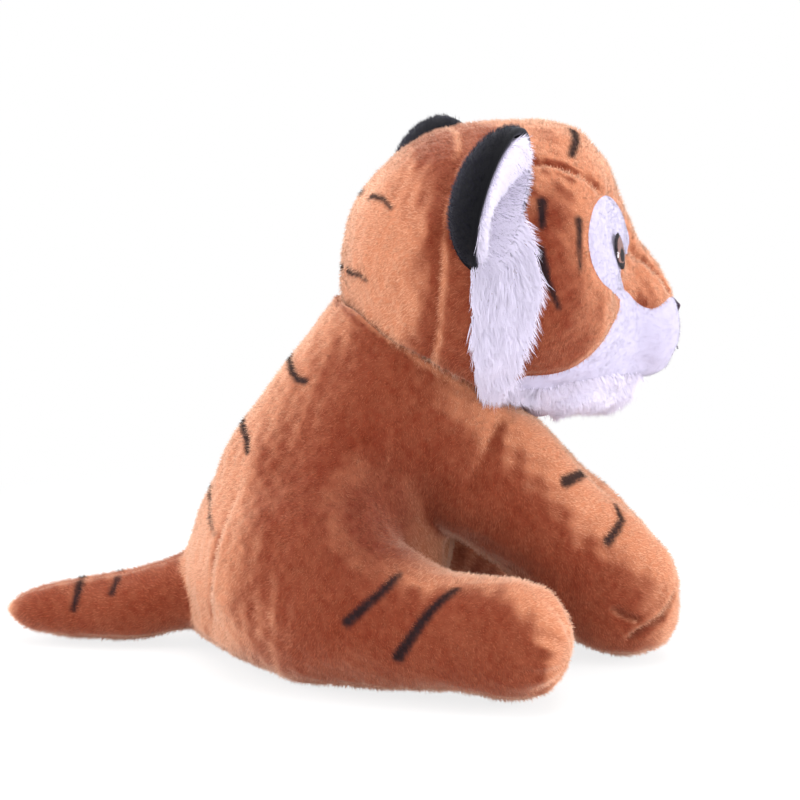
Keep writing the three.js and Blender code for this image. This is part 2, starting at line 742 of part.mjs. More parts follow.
const tiger = new THREE.Group();
tiger.position.y = -seatMiddleShare * torsoDepth;
makeTorso(tiger);
makeTail(tiger);
makeHeadStuffing(tiger);
makeHeadPanels(tiger);
makeNose(tiger);
makeMouth(tiger);
makeBeard(tiger);
for (const sideName of Object.keys(sides)) {
  makeForeleg(tiger, sideName);
  makeHindleg(tiger, sideName);
  makeEye(tiger, sideName);
  makeRuff(tiger, sideName);
  makeEar(tiger, sideName);
}

export default tiger;
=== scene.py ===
"""A sitting plush tiger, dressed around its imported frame: skins, pile, stitched face, fillings and studio."""

import logging
import math
from collections.abc import Callable
from dataclasses import dataclass, field, replace
from enum import Enum

import bpy
import numpy as np
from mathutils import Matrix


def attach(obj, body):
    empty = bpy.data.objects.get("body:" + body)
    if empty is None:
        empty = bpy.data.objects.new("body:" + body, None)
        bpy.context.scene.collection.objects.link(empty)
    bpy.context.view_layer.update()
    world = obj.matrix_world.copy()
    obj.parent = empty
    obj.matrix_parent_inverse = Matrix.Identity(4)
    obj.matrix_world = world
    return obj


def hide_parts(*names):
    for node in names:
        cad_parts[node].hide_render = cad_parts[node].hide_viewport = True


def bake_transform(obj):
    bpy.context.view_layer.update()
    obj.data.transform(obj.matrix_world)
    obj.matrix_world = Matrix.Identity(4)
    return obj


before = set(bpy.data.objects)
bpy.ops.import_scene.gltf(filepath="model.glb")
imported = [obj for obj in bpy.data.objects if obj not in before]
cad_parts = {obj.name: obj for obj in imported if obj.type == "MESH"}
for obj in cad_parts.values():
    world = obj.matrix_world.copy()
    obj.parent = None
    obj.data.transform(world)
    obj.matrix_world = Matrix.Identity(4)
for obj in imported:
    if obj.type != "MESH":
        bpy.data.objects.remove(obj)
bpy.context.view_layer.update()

log = logging.getLogger("tiger")

MM = 0.001
TINY = 1e-12
Rows = tuple[tuple[float, ...], ...]
Triple = tuple[float, float, float]
Array = np.ndarray


class Side(Enum):
    """The toy's own right is -X and its left is +X."""

    RIGHT = -1
    LEFT = 1

    @property
    def word(self) -> str:
        """The side's name as the pieces are named."""
        return self.name.lower()


class Slot(Enum):
    """The record's material slots."""

    ORANGE = "orange_plush"
    WHITE = "white_plush"
    LONG_WHITE = "long_white_pile"
    BLACK = "black_plush"
    FIBRE = "fibre_fill"
    CLOTH = "bag_cloth"
    THREAD = "embroidery_thread"
    NOSE = "nose_thread"


# Small sums on whole arrays


def unit(vectors: Array) -> Array:
    """Vectors over their own lengths, so that each is one long."""
    return vectors / np.maximum(np.linalg.norm(vectors, axis=-1, keepdims=True), TINY)


def dot(a: Array, b: Array) -> Array:
    """Products of the components, summed."""
    return np.sum(a * b, axis=-1)


def eased(value: Array) -> Array:
    """0 below 0 and 1 above 1, with a smooth S between: 3 t squared less 2 t cubed."""
    t = np.clip(value, 0.0, 1.0)
    return t * t * (3 - 2 * t)


def ramp(value: Array, start: float, span: float) -> Array:
    """0 up to the start, then a smooth rise to 1 over the span."""
    return eased((value - start) / span)


def bell(distance: Array, reach: float) -> Array:
    """1 at no distance, falling as a bell whose width is the reach."""
    return np.exp(-((distance / reach) ** 2))


def flattened(points: Array, direction: Array) -> Array:
    """The part of each vector that lies square to its direction."""
    return points - direction * dot(points, direction)[:, None]


def folded_over(points: Array) -> Array:
    """Points brought onto the toy's left half, where both halves are alike."""
    return np.concatenate([np.abs(points[:, :1]), points[:, 1:]], axis=1)


def probed(distance: Callable[[Array], Array], points: Array, step: float) -> tuple[Array, Array]:
    """A distance at each point, and how fast it grows along each axis over a small step.

    Args:
        distance: The distance function.
        points: Places in metres.
        step: How far it is stepped along each axis.

    Returns:
        The distances and their slopes.
    """
    here = distance(points)
    return here, np.stack([distance(points + step * axis) - here for axis in np.eye(3)], axis=1) / step


def joined(a: Array, b: Array, fillet: float) -> Array:
    """Two distances as one form with a soft fillet: the lesser one, less h squared times a quarter fillet."""
    h = np.maximum(fillet - np.abs(a - b), 0.0) / fillet
    return np.minimum(a, b) - h * h * fillet / 4


def trimmed(a: Array, b: Array, round_over: float) -> Array:
    """What two distances have in common, with the edge rounded over."""
    return -joined(-a, -b, round_over)


def smooth_curve(knots: Array, values: Array, at: Array) -> Array:
    """A curve through the values that never overshoots them.

    Hermite cubics, whose slope at each knot is the harmonic mean of the two slopes beside it, or 0 at a turn.

    Args:
        knots: Places along, rising.
        values: The value at each knot.
        at: Where to read the curve. Outside the knots it reads the end values.

    Returns:
        The curve's values.
    """
    gap = np.diff(knots)
    slope = np.diff(values) / gap
    before, after = slope[:-1], slope[1:]
    same = before * after > 0
    weigh_a, weigh_b = 2 * gap[1:] + gap[:-1], gap[1:] + 2 * gap[:-1]
    safe_a, safe_b = np.where(same, before, 1.0), np.where(same, after, 1.0)
    middle = np.where(same, (weigh_a + weigh_b) / (weigh_a / safe_a + weigh_b / safe_b), 0.0)
    tangent = np.concatenate([slope[:1], middle, slope[-1:]])
    at = np.clip(at, knots[0], knots[-1])
    i = np.clip(np.searchsorted(knots, at, side="right") - 1, 0, len(gap) - 1)
    t = (at - knots[i]) / gap[i]
    t2, t3 = t * t, t * t * t
    return (
        (2 * t3 - 3 * t2 + 1) * values[i]
        + (t3 - 2 * t2 + t) * gap[i] * tangent[i]
        + (3 * t2 - 2 * t3) * values[i + 1]
        + (t3 - t2) * gap[i] * tangent[i + 1]
    )


def lumps(points: Array, wavelength: float, seed: int, waves: int = 14) -> Array:
    """Gentle unevenness between about -1 and 1: plane waves in scattered directions, summed.

    Args:
        points: Places in metres.
        wavelength: The usual distance from lump to lump.
        seed: Fixes the directions and phases.
        waves: How many waves are summed.

    Returns:
        One value for each point.
    """
    rng = np.random.default_rng(seed)
    ways = unit(rng.normal(size=(waves, 3)))
    pitch = wavelength * rng.uniform(0.7, 1.5, waves)
    phase = rng.uniform(0, 2 * math.pi, waves)
    return np.sin(points @ (ways / pitch[:, None]).T * 2 * math.pi + phase).sum(axis=1) / math.sqrt(waves)


def swirl(points: Array, strength: float, wavelength: float, seed: int) -> Array:
    """A gentle change of direction from place to place: unevenness along each axis."""
    return strength * np.stack([lumps(points, wavelength, seed + axis) for axis in range(3)], axis=1)


def inside_outline(outline: Array, places: Array) -> Array:
    """How far flat places lie inside a closed outline, negative outside.

    The least distance to its edges, with the sign of an even or odd count of edges crossed on the way out.

    Args:
        outline: Corners in order.
        places: Flat places.

    Returns:
        Signed distances.
    """
    start, end = outline, np.roll(outline, -1, axis=0)
    edge = end - start
    from_start = places[:, None, :] - start
    share = np.clip(dot(from_start, edge) / dot(edge, edge), 0, 1)
    distance = np.linalg.norm(from_start - share[..., None] * edge, axis=2).min(axis=1)
    above = (start[:, 1] > places[:, 1:2]) != (end[:, 1] > places[:, 1:2])
    rise = np.where(edge[:, 1] == 0, TINY, edge[:, 1])
    reach = start[:, 0] + (places[:, 1:2] - start[:, 1]) * edge[:, 0] / rise
    crossed = (above & (places[:, 0:1] < reach)).sum(axis=1)
    return np.where(crossed % 2 == 1, distance, -distance)


def softened(outline: Rows, scale: tuple[float, float]) -> Array:
    """An outline in metres whose corners are cut twice, at a quarter and three quarters of each edge.

    Args:
        outline: The corners, as shares of the scale.
        scale: The lengths that a share of 1 stands for.

    Returns:
        The corners of the softened outline.
    """
    corners = np.array(outline) * np.array(scale)
    for _ in range(2):
        after = np.roll(corners, -1, axis=0)
        cuts = [corners * 0.75 + after * 0.25, corners * 0.25 + after * 0.75]
        corners = np.stack(cuts, axis=1).reshape(-1, 2)
    return corners


@dataclass(frozen=True)
class Groove:
    """How deep a seam or fold is drawn in, and how far the dip beside it reaches."""

    depth: float
    reach: float

    def at(self, distance: Array) -> Array:
        """How far the skin is drawn in at a distance from the seam."""
        return self.depth * bell(distance, self.reach)


@dataclass(frozen=True)
class Swell:
    """Lumps of stuffing: how high they stand, how far apart they are, and what fixes their places."""

    height: float
    wavelength: float
    seed: int

    def at(self, points: Array) -> Array:
        """How far the skin swells at each point."""
        return self.height * lumps(points, self.wavelength, self.seed)


@dataclass(frozen=True)
class Stripe:
    """An airbrushed mark along a line of places on the right flank, mirrored on the left one."""

    places: Rows
    start_wide: float
    end_wide: float
    depth_share: float = 0.8

    def mask(self, points: Array, normals: Array, soft: float = 0.9 * MM) -> Array:
        """How dark the mark is at each point: the spray's half width less the distance to the line.

        Args:
            points: Places in metres.
            normals: The surface's direction at each point. Most of the distance along it is left out.
            soft: How far the edge fades.

        Returns:
            A value from 0 to 1 for each point.
        """
        line = np.array(self.places) * MM
        mirror = np.ones(points.shape)
        mirror[points[:, 0] > 0, 0] = -1
        folded, out = points * mirror, (normals * mirror)[:, None, :]
        lengths = np.linalg.norm(np.diff(line, axis=0), axis=1)
        walked = np.concatenate([[0], np.cumsum(lengths)]) / lengths.sum()
        run = np.diff(line, axis=0)
        away = folded[:, None, :] - line[:-1]
        share = np.clip(dot(away, run) / dot(run, run), 0, 1)
        off = away - share[..., None] * run
        distance = np.linalg.norm(off - self.depth_share * out * dot(off, out)[..., None], axis=2)
        along = walked[:-1] + share * np.diff(walked)
        half = (self.start_wide + (self.end_wide - self.start_wide) * along) * MM / 2
        return eased(((half - distance) / (2 * soft) + 0.5).max(axis=1))


def marked(points: Array, normals: Array, stripes: tuple[Stripe, ...]) -> Array:
    """The darkest of several marks at each point."""
    return np.max([stripe.mask(points, normals) for stripe in stripes], axis=0)


# Stuffed forms and their skins

NEAR_END = 1e-4
LEAST_HALF = 0.1 * MM
SLOPE_STEP = 0.4 * MM
STEEPEST = 1.2
# Where the painted shade of the fold between hind leg and belly lies, how far it reaches and how strong it is
LEG_FOLD = np.array([48, -29, 58]) * MM
LEG_FOLD_REACH = 23 * MM
LEG_FOLD_STRENGTH = 1.4
PROBE = 0.15 * MM
LEAST_SLOPE = 0.08
LONGEST_MOVE = 2 * MM


@dataclass(frozen=True)
class StuffedForm:
    """Oval sections that swell and taper along a straight run, round at both ends.

    Each row is how far along it lies, how far its middle rises, and its height and width, all as shares.
    """

    rows: Rows
    root: Triple
    run: Triple
    high: float
    wide: float
    rise: float

    def axes(self) -> tuple[Array, Array, Array]:
        """The run's direction, the direction across and the direction of the rise."""
        along = unit(np.array(self.run, float))
        across = unit(np.array([1.0, 0, 0]) - along * along[0])
        return along, across, np.cross(along, across)

    @property
    def length(self) -> float:
        """From the root to where along is 1."""
        return float(np.linalg.norm(self.run))

    def section(self, share: Array) -> tuple[Array, Array, Array]:
        """The middle's rise, half height and half width. Their squares run smoothly, so ends are round."""
        table = np.array(self.rows)
        rise = smooth_curve(table[:, 0], table[:, 1] * self.rise, share)
        half_high = np.sqrt(smooth_curve(table[:, 0], (table[:, 2] * self.high / 2) ** 2, share))
        half_wide = np.sqrt(smooth_curve(table[:, 0], (table[:, 3] * self.wide / 2) ** 2, share))
        return rise, half_high, half_wide

    def share_of(self, points: Array) -> Array:
        """How far along the run each point lies, as a share."""
        return (points - np.array(self.root)) @ self.axes()[0] / self.length

    def distance(self, points: Array) -> Array:
        """About how far each point lies outside the form, negative inside.

        The point's share of the oval's size less 1, times the mean half size, over the slope of the side.

        Args:
            points: Places in metres.

        Returns:
            One distance for each point.
        """
        along, across, up = self.axes()
        table = np.array(self.rows)
        first, last = table[0, 0] + NEAR_END, table[-1, 0] - NEAR_END
        away = points - np.array(self.root)
        share = away @ along / self.length
        held = np.clip(share, first, last)
        rise, half_high, half_wide = self.section(held)
        half_high, half_wide = np.maximum(half_high, LEAST_HALF), np.maximum(half_wide, LEAST_HALF)
        mean = np.sqrt(half_high * half_wide)
        reach = np.hypot((away @ across) / half_wide, (away @ up - rise) / half_high)
        step = SLOPE_STEP / self.length
        _, high_on, wide_on = self.section(np.clip(held + step, first, last))
        _, high_back, wide_back = self.section(np.clip(held - step, first, last))
        growth = np.sqrt(high_on * wide_on) - np.sqrt(high_back * wide_back)
        slope = np.clip(growth / (2 * SLOPE_STEP), -STEEPEST, STEEPEST)
        side = (reach - 1) * mean / np.sqrt(1 + slope**2)
        beyond = np.abs(share - held) * self.length
        return np.where(beyond > 0, np.hypot(np.maximum(side, 0), beyond), side)

    def hull(self, grow: float, rings: int = 44, around: int = 40) -> tuple[Array, Array]:
        """The closed surface as rings of points across the run, with a pole at each end.

        A point is the ring's middle, plus the cosine times the half width across and the sine times the half
        height up.

        Args:
            grow: How far the surface is moved outwards.
            rings: Rings along the run.
            around: Points on each ring.

        Returns:
            The points and four-cornered faces, whose last two corners are alike at the poles.
        """
        _, across, up = self.axes()
        table = np.array(self.rows)
        turn = np.linspace(0, math.pi, rings + 2)[1:-1]
        share = table[0, 0] + (table[-1, 0] - table[0, 0]) * (1 - np.cos(turn)) / 2
        rise, half_high, half_wide = self.section(share)
        half_high = np.maximum(half_high + grow, 2 * LEAST_HALF)
        half_wide = np.maximum(half_wide + grow, 2 * LEAST_HALF)
        angle = np.linspace(0, 2 * math.pi, around, endpoint=False)
        middle = np.array(self.root) + share[:, None] * np.array(self.run) + rise[:, None] * up
        ring = (
            middle[:, None, :]
            + (half_wide[:, None] * np.cos(angle))[..., None] * across
            + (half_high[:, None] * np.sin(angle))[..., None] * up
        )
        return closed_rings(ring, middle[0], middle[-1])


def pressed(points: Array) -> Array:
    """How near points are to the fold where leg and belly press together, from 0 to 1: how much painted shade
    they get there.
    """
    away = np.linalg.norm(folded_over(points) - LEG_FOLD, axis=1)
    return np.minimum(LEG_FOLD_STRENGTH * bell(away, LEG_FOLD_REACH), 1)


def painted_sheen(points: Array, normals: Array) -> Array:
    """How much painted sheen the skin gets: its colour is painted paler where it faces up, forward or back.

    How far the skin is turned is measured from a start, over a span. Both depend on how far it faces forward.

    Args:
        points: Places in metres.
        normals: The skin's direction at each.

    Returns:
        A share for each point, which is lower in the painted shade where leg and belly press together.
    """
    front = np.clip(0.5 - normals[:, 1] / 0.6, 0, 1)
    up = np.maximum(normals[:, 2], 0) * (0.2 + 1.1 * front)
    turned = np.hypot(normals[:, 1], up)
    start, span = 0.42 - 0.3 * front, 0.44 + 0.18 * front
    return ramp(turned, start, span) * (1 - pressed(points))


def closed_rings(ring: Array, first: Array, last: Array) -> tuple[Array, Array]:
    """Rings of points joined into a closed surface with a pole before the first and after the last.

    Args:
        ring: Points by ring and by place on the ring.
        first: The pole before the first ring.
        last: The pole after the last ring.

    Returns:
        The points and the faces, which are four-cornered, with a corner named twice at the poles.
    """
    rings, around = ring.shape[:2]
    points = np.concatenate([ring.reshape(-1, 3), [first, last]])
    here = np.arange(around)
    after = np.roll(here, -1)
    row = np.arange(rings - 1)[:, None] * around
    corners = [row + here, row + after, row + around + after, row + around + here]
    sides = np.stack(corners, axis=-1).reshape(-1, 4)
    low, high = rings * around, rings * around + 1
    end = (rings - 1) * around
    start_fan = np.stack([np.full(around, low), after, here, here], axis=1)
    end_fan = np.stack([np.full(around, high), end + here, end + after, end + after], axis=1)
    return points, np.concatenate([sides, start_fan, end_fan])


@dataclass
class Surface:
    """Points, four-cornered faces that point outwards, and the points' directions where a whole gave them."""

    points: Array
    faces: Array
    directions: Array | None = None

    def normals(self) -> Array:
        """Each point's outward direction: the sum of its faces' diagonals crossed, if none was given."""
        if self.directions is not None:
            return self.directions
        a, b, c, d = (self.points[self.faces[:, k]] for k in range(4))
        face = np.cross(c - a, d - b)
        total = np.zeros_like(self.points)
        for axis in range(3):
            total[:, axis] = sum(
                np.bincount(self.faces[:, k], face[:, axis], len(self.points)) for k in range(4)
            )
        return unit(total)

    def middles(self) -> Array:
        """The middle of each face."""
        return self.points[self.faces].mean(axis=1)

    def part(self, wanted: Array) -> "Surface":
        """The faces that are wanted, with only their own points."""
        used, renamed = np.unique(self.faces[wanted], return_inverse=True)
        return Surface(self.points[used], renamed.reshape(-1, 4), self.normals()[used])

    def shell(self, thickness: float) -> "Surface":
        """This surface, the same surface moved inwards and turned over, and a rim round every open edge.

        Args:
            thickness: The skin's thickness.

        Returns:
            A closed skin.
        """
        count, out = len(self.points), self.normals()
        inner = self.points - out * thickness
        ahead = np.concatenate([self.faces[:, [k, (k + 1) % 4]] for k in range(4)])
        ahead = ahead[ahead[:, 0] != ahead[:, 1]]
        code, back = ahead[:, 0] * count + ahead[:, 1], ahead[:, 1] * count + ahead[:, 0]
        rim = ahead[~np.isin(code, back)]
        edge = np.stack([rim[:, 1], rim[:, 0], rim[:, 0] + count, rim[:, 1] + count], axis=1)
        faces = np.concatenate([self.faces, self.faces[:, ::-1] + count, edge])
        return Surface(np.concatenate([self.points, inner]), faces, np.concatenate([out, -out]))


def make_mesh(name: str, points: Array, faces: Array) -> bpy.types.Mesh:
    """A mesh from points and four-cornered faces, where a corner named twice makes a triangle.

    Args:
        name: The mesh's name.
        points: Places in metres.
        faces: Four corners for each face.

    Returns:
        The mesh, with smooth shading.
    """
    triangle = faces[:, 2] == faces[:, 3]
    count = np.where(triangle, 3, 4)
    keep = np.ones(faces.shape, bool)
    keep[:, 3] = ~triangle
    mesh = bpy.data.meshes.new(name)
    mesh.vertices.add(len(points))
    mesh.vertices.foreach_set("co", points.astype(np.float32).ravel())
    mesh.loops.add(int(count.sum()))
    mesh.loops.foreach_set("vertex_index", faces[keep].astype(np.int32))
    mesh.polygons.add(len(faces))
    mesh.polygons.foreach_set("loop_start", np.concatenate([[0], np.cumsum(count)[:-1]]).astype(np.int32))
    mesh.update(calc_edges=True)
    mesh.polygons.foreach_set("use_smooth", np.ones(len(faces), bool))
    mesh.validate()
    return mesh


def make_piece(
    name: str, surface: Surface, material: bpy.types.Material, values: dict[str, Array] | None = None
) -> bpy.types.Object:
    """A finished piece at the origin, with its place in its mesh.

    Args:
        name: The piece's name.
        surface: Its closed surface.
        material: Its finish.
        values: Numbers for each point that the finish reads by name.

    Returns:
        The object.
    """
    mesh = make_mesh(name, surface.points, surface.faces)
    for word, numbers in (values or {}).items():
        mesh.attributes.new(word, "FLOAT", "POINT").data.foreach_set("value", numbers.astype(np.float32))
    if surface.directions is not None:
        mesh.normals_split_custom_set_from_vertices(surface.directions)
    mesh.materials.append(material)
    piece = bpy.data.objects.new(name, mesh)
    bpy.context.scene.collection.objects.link(piece)
    return piece


def remeshed(parts: list[tuple[Array, Array]], cell: float) -> Surface:
    """Closed parts fused into one even surface of small square faces.

    Args:
        parts: Points and faces of each closed part.
        cell: The faces' size.

    Returns:
        The fused surface.
    """
    starts = np.cumsum([0] + [len(points) for points, _ in parts])
    points = np.concatenate([points for points, _ in parts])
    faces = np.concatenate([faces + start for (_, faces), start in zip(parts, starts)])
    rough = bpy.data.objects.new("rough", make_mesh("rough", points, faces))
    bpy.context.scene.collection.objects.link(rough)
    fuse = rough.modifiers.new("fuse", "REMESH")
    fuse.mode, fuse.voxel_size, fuse.adaptivity = "VOXEL", cell, 0.0
    even = bpy.data.meshes.new_from_object(rough.evaluated_get(bpy.context.evaluated_depsgraph_get()))
    co = np.empty(len(even.vertices) * 3, np.float32)
    even.vertices.foreach_get("co", co)
    corners = np.empty(len(even.loops), np.int32)
    even.loops.foreach_get("vertex_index", corners)
    bpy.data.objects.remove(rough)
    return Surface(co.reshape(-1, 3).astype(float), corners.reshape(-1, 4))


def settled(surface: Surface, distance: Callable[[Array], Array], rounds: int = 7) -> Surface:
    """A rough surface drawn onto a form: each point steps down the distance, while its faces even out.

    Args:
        surface: The rough surface.
        distance: The form's distance function.
        rounds: How often the points step.

    Returns:
        The surface on the form.
    """
    points, faces = surface.points.copy(), surface.faces
    edges = np.concatenate([faces[:, [k, (k + 1) % 4]] for k in range(4)])
    meeting = np.maximum(np.bincount(edges[:, 0], minlength=len(points)), 1)[:, None]
    for turn in range(rounds):
        here, slope = probed(distance, points, PROBE)
        size = np.maximum(dot(slope, slope), LEAST_SLOPE)
        if turn < rounds - 2:
            sums = [np.bincount(edges[:, 0], points[edges[:, 1], axis], len(points)) for axis in range(3)]
            drift = flattened(np.stack(sums, axis=1) / meeting - points, unit(slope))
            points = points + 0.5 * drift
        move = -(here / size)[:, None] * slope
        far = np.maximum(np.linalg.norm(move, axis=1), TINY)[:, None]
        points = points + move * np.minimum(1, LONGEST_MOVE / far)
    return Surface(points, faces)


# Shader maths


@dataclass
class Wire:
    """A number in a material. Python's signs on it add Math nodes."""

    bench: "Bench"
    socket: bpy.types.NodeSocket

    def maths(self, operation: str, first: object, second: object) -> "Wire":
        """One Math node on two values."""
        made = self.bench.node("ShaderNodeMath", {"operation": operation}, {0: first, 1: second})
        return Wire(self.bench, made.outputs[0])

    def __add__(self, other: object) -> "Wire":
        """The sum."""
        return self.maths("ADD", self, other)

    def __radd__(self, other: object) -> "Wire":
        """The sum, with the number first."""
        return self.maths("ADD", other, self)

    def __sub__(self, other: object) -> "Wire":
        """The difference."""
        return self.maths("SUBTRACT", self, other)

    def __rsub__(self, other: object) -> "Wire":
        """The difference, with the number first."""
        return self.maths("SUBTRACT", other, self)

    def __mul__(self, other: object) -> "Wire":
        """The product."""
        return self.maths("MULTIPLY", self, other)


class Bench:
    """A material being built, with one method for every kind of node."""

    def __init__(self, name: str) -> None:
        """Starts a material that has only its output.

        Args:
            name: The material's name.
        """
        self.material = bpy.data.materials.new(name)
        self.material.use_nodes = True
        self.tree = self.material.node_tree
        self.tree.nodes.clear()
        self.output = self.tree.nodes.new("ShaderNodeOutputMaterial")

    def node(self, kind: str, settings: dict[str, object], values: dict[object, object]) -> bpy.types.Node:
        """Adds a node.

        Args:
            kind: Blender's name for the node.
            settings: What the node is set to before its sockets are filled. A ramp's stops are pairs.
            values: A number, a colour or a link for each socket, by name or place.

        Returns:
            The node.
        """
        made = self.tree.nodes.new(kind)
        for word, value in settings.items():
            if word == "stops":
                stops = made.color_ramp.elements
                for place, shade in value[2:]:
                    stops.new(place).color = shade
                for stop, (place, shade) in zip(stops, sorted(value)):
                    stop.position, stop.color = place, shade
            else:
                setattr(made, word, value)
        for word, value in values.items():
            if isinstance(value, Wire):
                self.tree.links.new(value.socket, made.inputs[word])
            elif isinstance(value, bpy.types.NodeSocket):
                self.tree.links.new(value, made.inputs[word])
            else:
                made.inputs[word].default_value = value
        return made

    def number(self, word: str) -> Wire:
        """The numbers that a piece carries under a name."""
        return Wire(self, self.node("ShaderNodeAttribute", {"attribute_name": word}, {}).outputs["Fac"])

    def place(self) -> bpy.types.NodeSocket:
        """Where on the object a point lies."""
        return self.node("ShaderNodeTexCoord", {}, {}).outputs["Object"]

    def noise(self, scale: float, detail: float = 2.0, roughness: float = 0.55) -> Wire:
        """Soft unevenness from 0 to 1, with so many waves to the metre."""
        values = {"Vector": self.place(), "Scale": scale, "Detail": detail, "Roughness": roughness}
        return Wire(self, self.node("ShaderNodeTexNoise", {}, values).outputs[0])

    def mixed(self, factor: object, first: object, second: object) -> bpy.types.NodeSocket:
        """A colour between two colours."""
        return self.node("ShaderNodeMix", {"data_type": "RGBA"}, {0: factor, 6: first, 7: second}).outputs[2]

    def bump(self, height: Wire, strength: float, distance: float) -> bpy.types.NodeSocket:
        """A normal roughened by a height."""
        made = self.node("ShaderNodeBump", {}, {"Strength": strength, "Distance": distance, "Height": height})
        return made.outputs[0]

    def shader(self, values: dict[object, object]) -> bpy.types.NodeSocket:
        """A Principled shader."""
        return self.node("ShaderNodeBsdfPrincipled", {}, values).outputs[0]

    def finish(self, shader: bpy.types.NodeSocket) -> bpy.types.Material:
        """Ends the material in a shader."""
        self.tree.links.new(shader, self.output.inputs[0])
        return self.material


def colour(red: int, green: int, blue: int) -> tuple[float, float, float, float]:
    """A colour as it is seen, from 0 to 255, turned into the light that a shader takes."""
    shares = np.array([red, green, blue]) / 255
    light = np.where(shares <= 0.04045, shares / 12.92, ((shares + 0.055) / 1.055) ** 2.4)
    return (*(float(x) for x in light), 1.0)


# Finishes


@dataclass(frozen=True)
class PlushFinish:
    """Cut pile on knitted cloth: painted darker at the roots as shade among the strands, paler at the tips,
    uneven where it was brushed, and with a painted sheen where it faces up, forward or back.
    """

    name: str
    slot: Slot
    root_deep: tuple[float, ...]
    root_light: tuple[float, ...]
    tip_deep: tuple[float, ...]
    tip_light: tuple[float, ...]
    # the stripes' ink colour, which also paints the shade in the toe folds and beside the thigh
    ink: tuple[float, ...] = colour(24, 20, 25)
    sheen: float = 0.35
    sheen_tint: tuple[float, ...] = (1.0, 0.85, 0.78, 1.0)
    sheen_roughness: float = 0.4
    contrast: float = 0.2
    brushing: float = 0.5
    # how far the painted sheen moves the colour towards the pale ends
    painted_sheen_weight: float = 0.8
    roughness: float = 0.78
    nap: float = 0.35
    patch_scale: float = 55.0
    grain_scale: float = 620.0
    grain_detail: float = 3.0
    grain_tone: float = 0.2
    grain_roughness: float = 0.15
    nap_depth: float = 0.5 * MM
    gloss: float = 0.15
    ink_gloss: float = 0.1
    ink_cover: float = 0.94

    def material(self) -> bpy.types.Material:
        """Reads each point's stripe and painted shade, tone, painted sheen and height along its strand, and
        brushed patches by its place.
        """
        bench = Bench(self.name)
        grain = bench.noise(self.grain_scale, self.grain_detail)
        patch = bench.noise(self.patch_scale)
        tone = bench.number("tone") * self.contrast + (patch - 0.5) * self.brushing + grain * self.grain_tone
        # painted sheen: the colour is moved towards the pale ends where the skin faces up, forward or back
        tone = tone + bench.number("pale") * self.painted_sheen_weight
        height = bench.number("height")
        root = bench.mixed(tone, self.root_deep, self.root_light)
        tip = bench.mixed(tone, self.tip_deep, self.tip_light)
        pile = {
            "Roughness": self.roughness + grain * self.grain_roughness,
            "Normal": bench.bump(grain, self.nap, self.nap_depth),
        }
        fibre = {
            # roots, and skins that carry no height, take the root colours, painted darker as shade among the
            # strands
            "Base Color": bench.mixed(height, root, tip),
            "Sheen Weight": self.sheen,
            "Sheen Roughness": self.sheen_roughness,
            "Sheen Tint": self.sheen_tint,
            "Specular IOR Level": self.gloss,
        }
        cloth = bench.shader(pile | fibre)
        ink = bench.shader(pile | {"Base Color": self.ink, "Specular IOR Level": self.ink_gloss})
        # the stripe numbers hold the stripes and, on the body, a painted shade in the toe folds and beside the
        # thigh; both are mixed towards the ink
        stripe = bench.number("stripe") * self.ink_cover
        return bench.finish(bench.node("ShaderNodeMixShader", {}, {0: stripe, 1: cloth, 2: ink}).outputs[0])


@dataclass(frozen=True)
class FibreFinish:
    """Loose polyester filling, fluffy and nearly white."""

    name: str = "fibre_filling"
    slot: Slot = Slot.FIBRE
    light: tuple[float, ...] = colour(243, 241, 236)
    shade: tuple[float, ...] = colour(214, 210, 204)
    curl_scale: float = 900.0
    curl_detail: float = 5.0
    roughness: float = 0.8
    curl_roughness: float = 0.2
    fluff: float = 0.7
    fluff_depth: float = 0.8 * MM
    sheen: float = 0.4

    def material(self) -> bpy.types.Material:
        """Curled strands as fine noise in the colour and the bump."""
        bench = Bench(self.name)
        curl = bench.noise(self.curl_scale, self.curl_detail)
        values = {
            "Base Color": bench.mixed(curl, self.shade, self.light),
            "Roughness": self.roughness + curl * self.curl_roughness,
            "Normal": bench.bump(curl, self.fluff, self.fluff_depth),
            "Sheen Weight": self.sheen,
        }
        return bench.finish(bench.shader(values))


@dataclass(frozen=True)
class WovenFinish:
    """Plain woven cloth, in which two sets of threads cross."""

    name: str = "bag_calico"
    slot: Slot = Slot.CLOTH
    light: tuple[float, ...] = colour(221, 214, 200)
    shade: tuple[float, ...] = colour(176, 167, 150)
    threads: float = 1400.0
    threads_to_scale: float = 6.3
    unevenness: float = 0.6
    overlap: float = 0.3
    roughness: float = 0.9
    worn: float = 0.1
    relief: float = 0.5
    relief_depth: float = 0.3 * MM

    def material(self) -> bpy.types.Material:
        """Two waves of threads at right angles, multiplied."""
        bench = Bench(self.name)
        weave = None
        for direction in ("X", "Y"):
            values = {
                "Vector": bench.place(),
                "Scale": self.threads / self.threads_to_scale,
                "Distortion": self.unevenness,
                "Detail Scale": 2.0,
            }
            made = bench.node("ShaderNodeTexWave", {"bands_direction": direction}, values)
            thread = Wire(bench, made.outputs["Fac"])
            weave = thread if weave is None else weave * thread + thread * self.overlap
        values = {
            "Base Color": bench.mixed(weave, self.shade, self.light),
            "Roughness": self.roughness - weave * self.worn,
            "Normal": bench.bump(weave, self.relief, self.relief_depth),
        }
        return bench.finish(bench.shader(values))


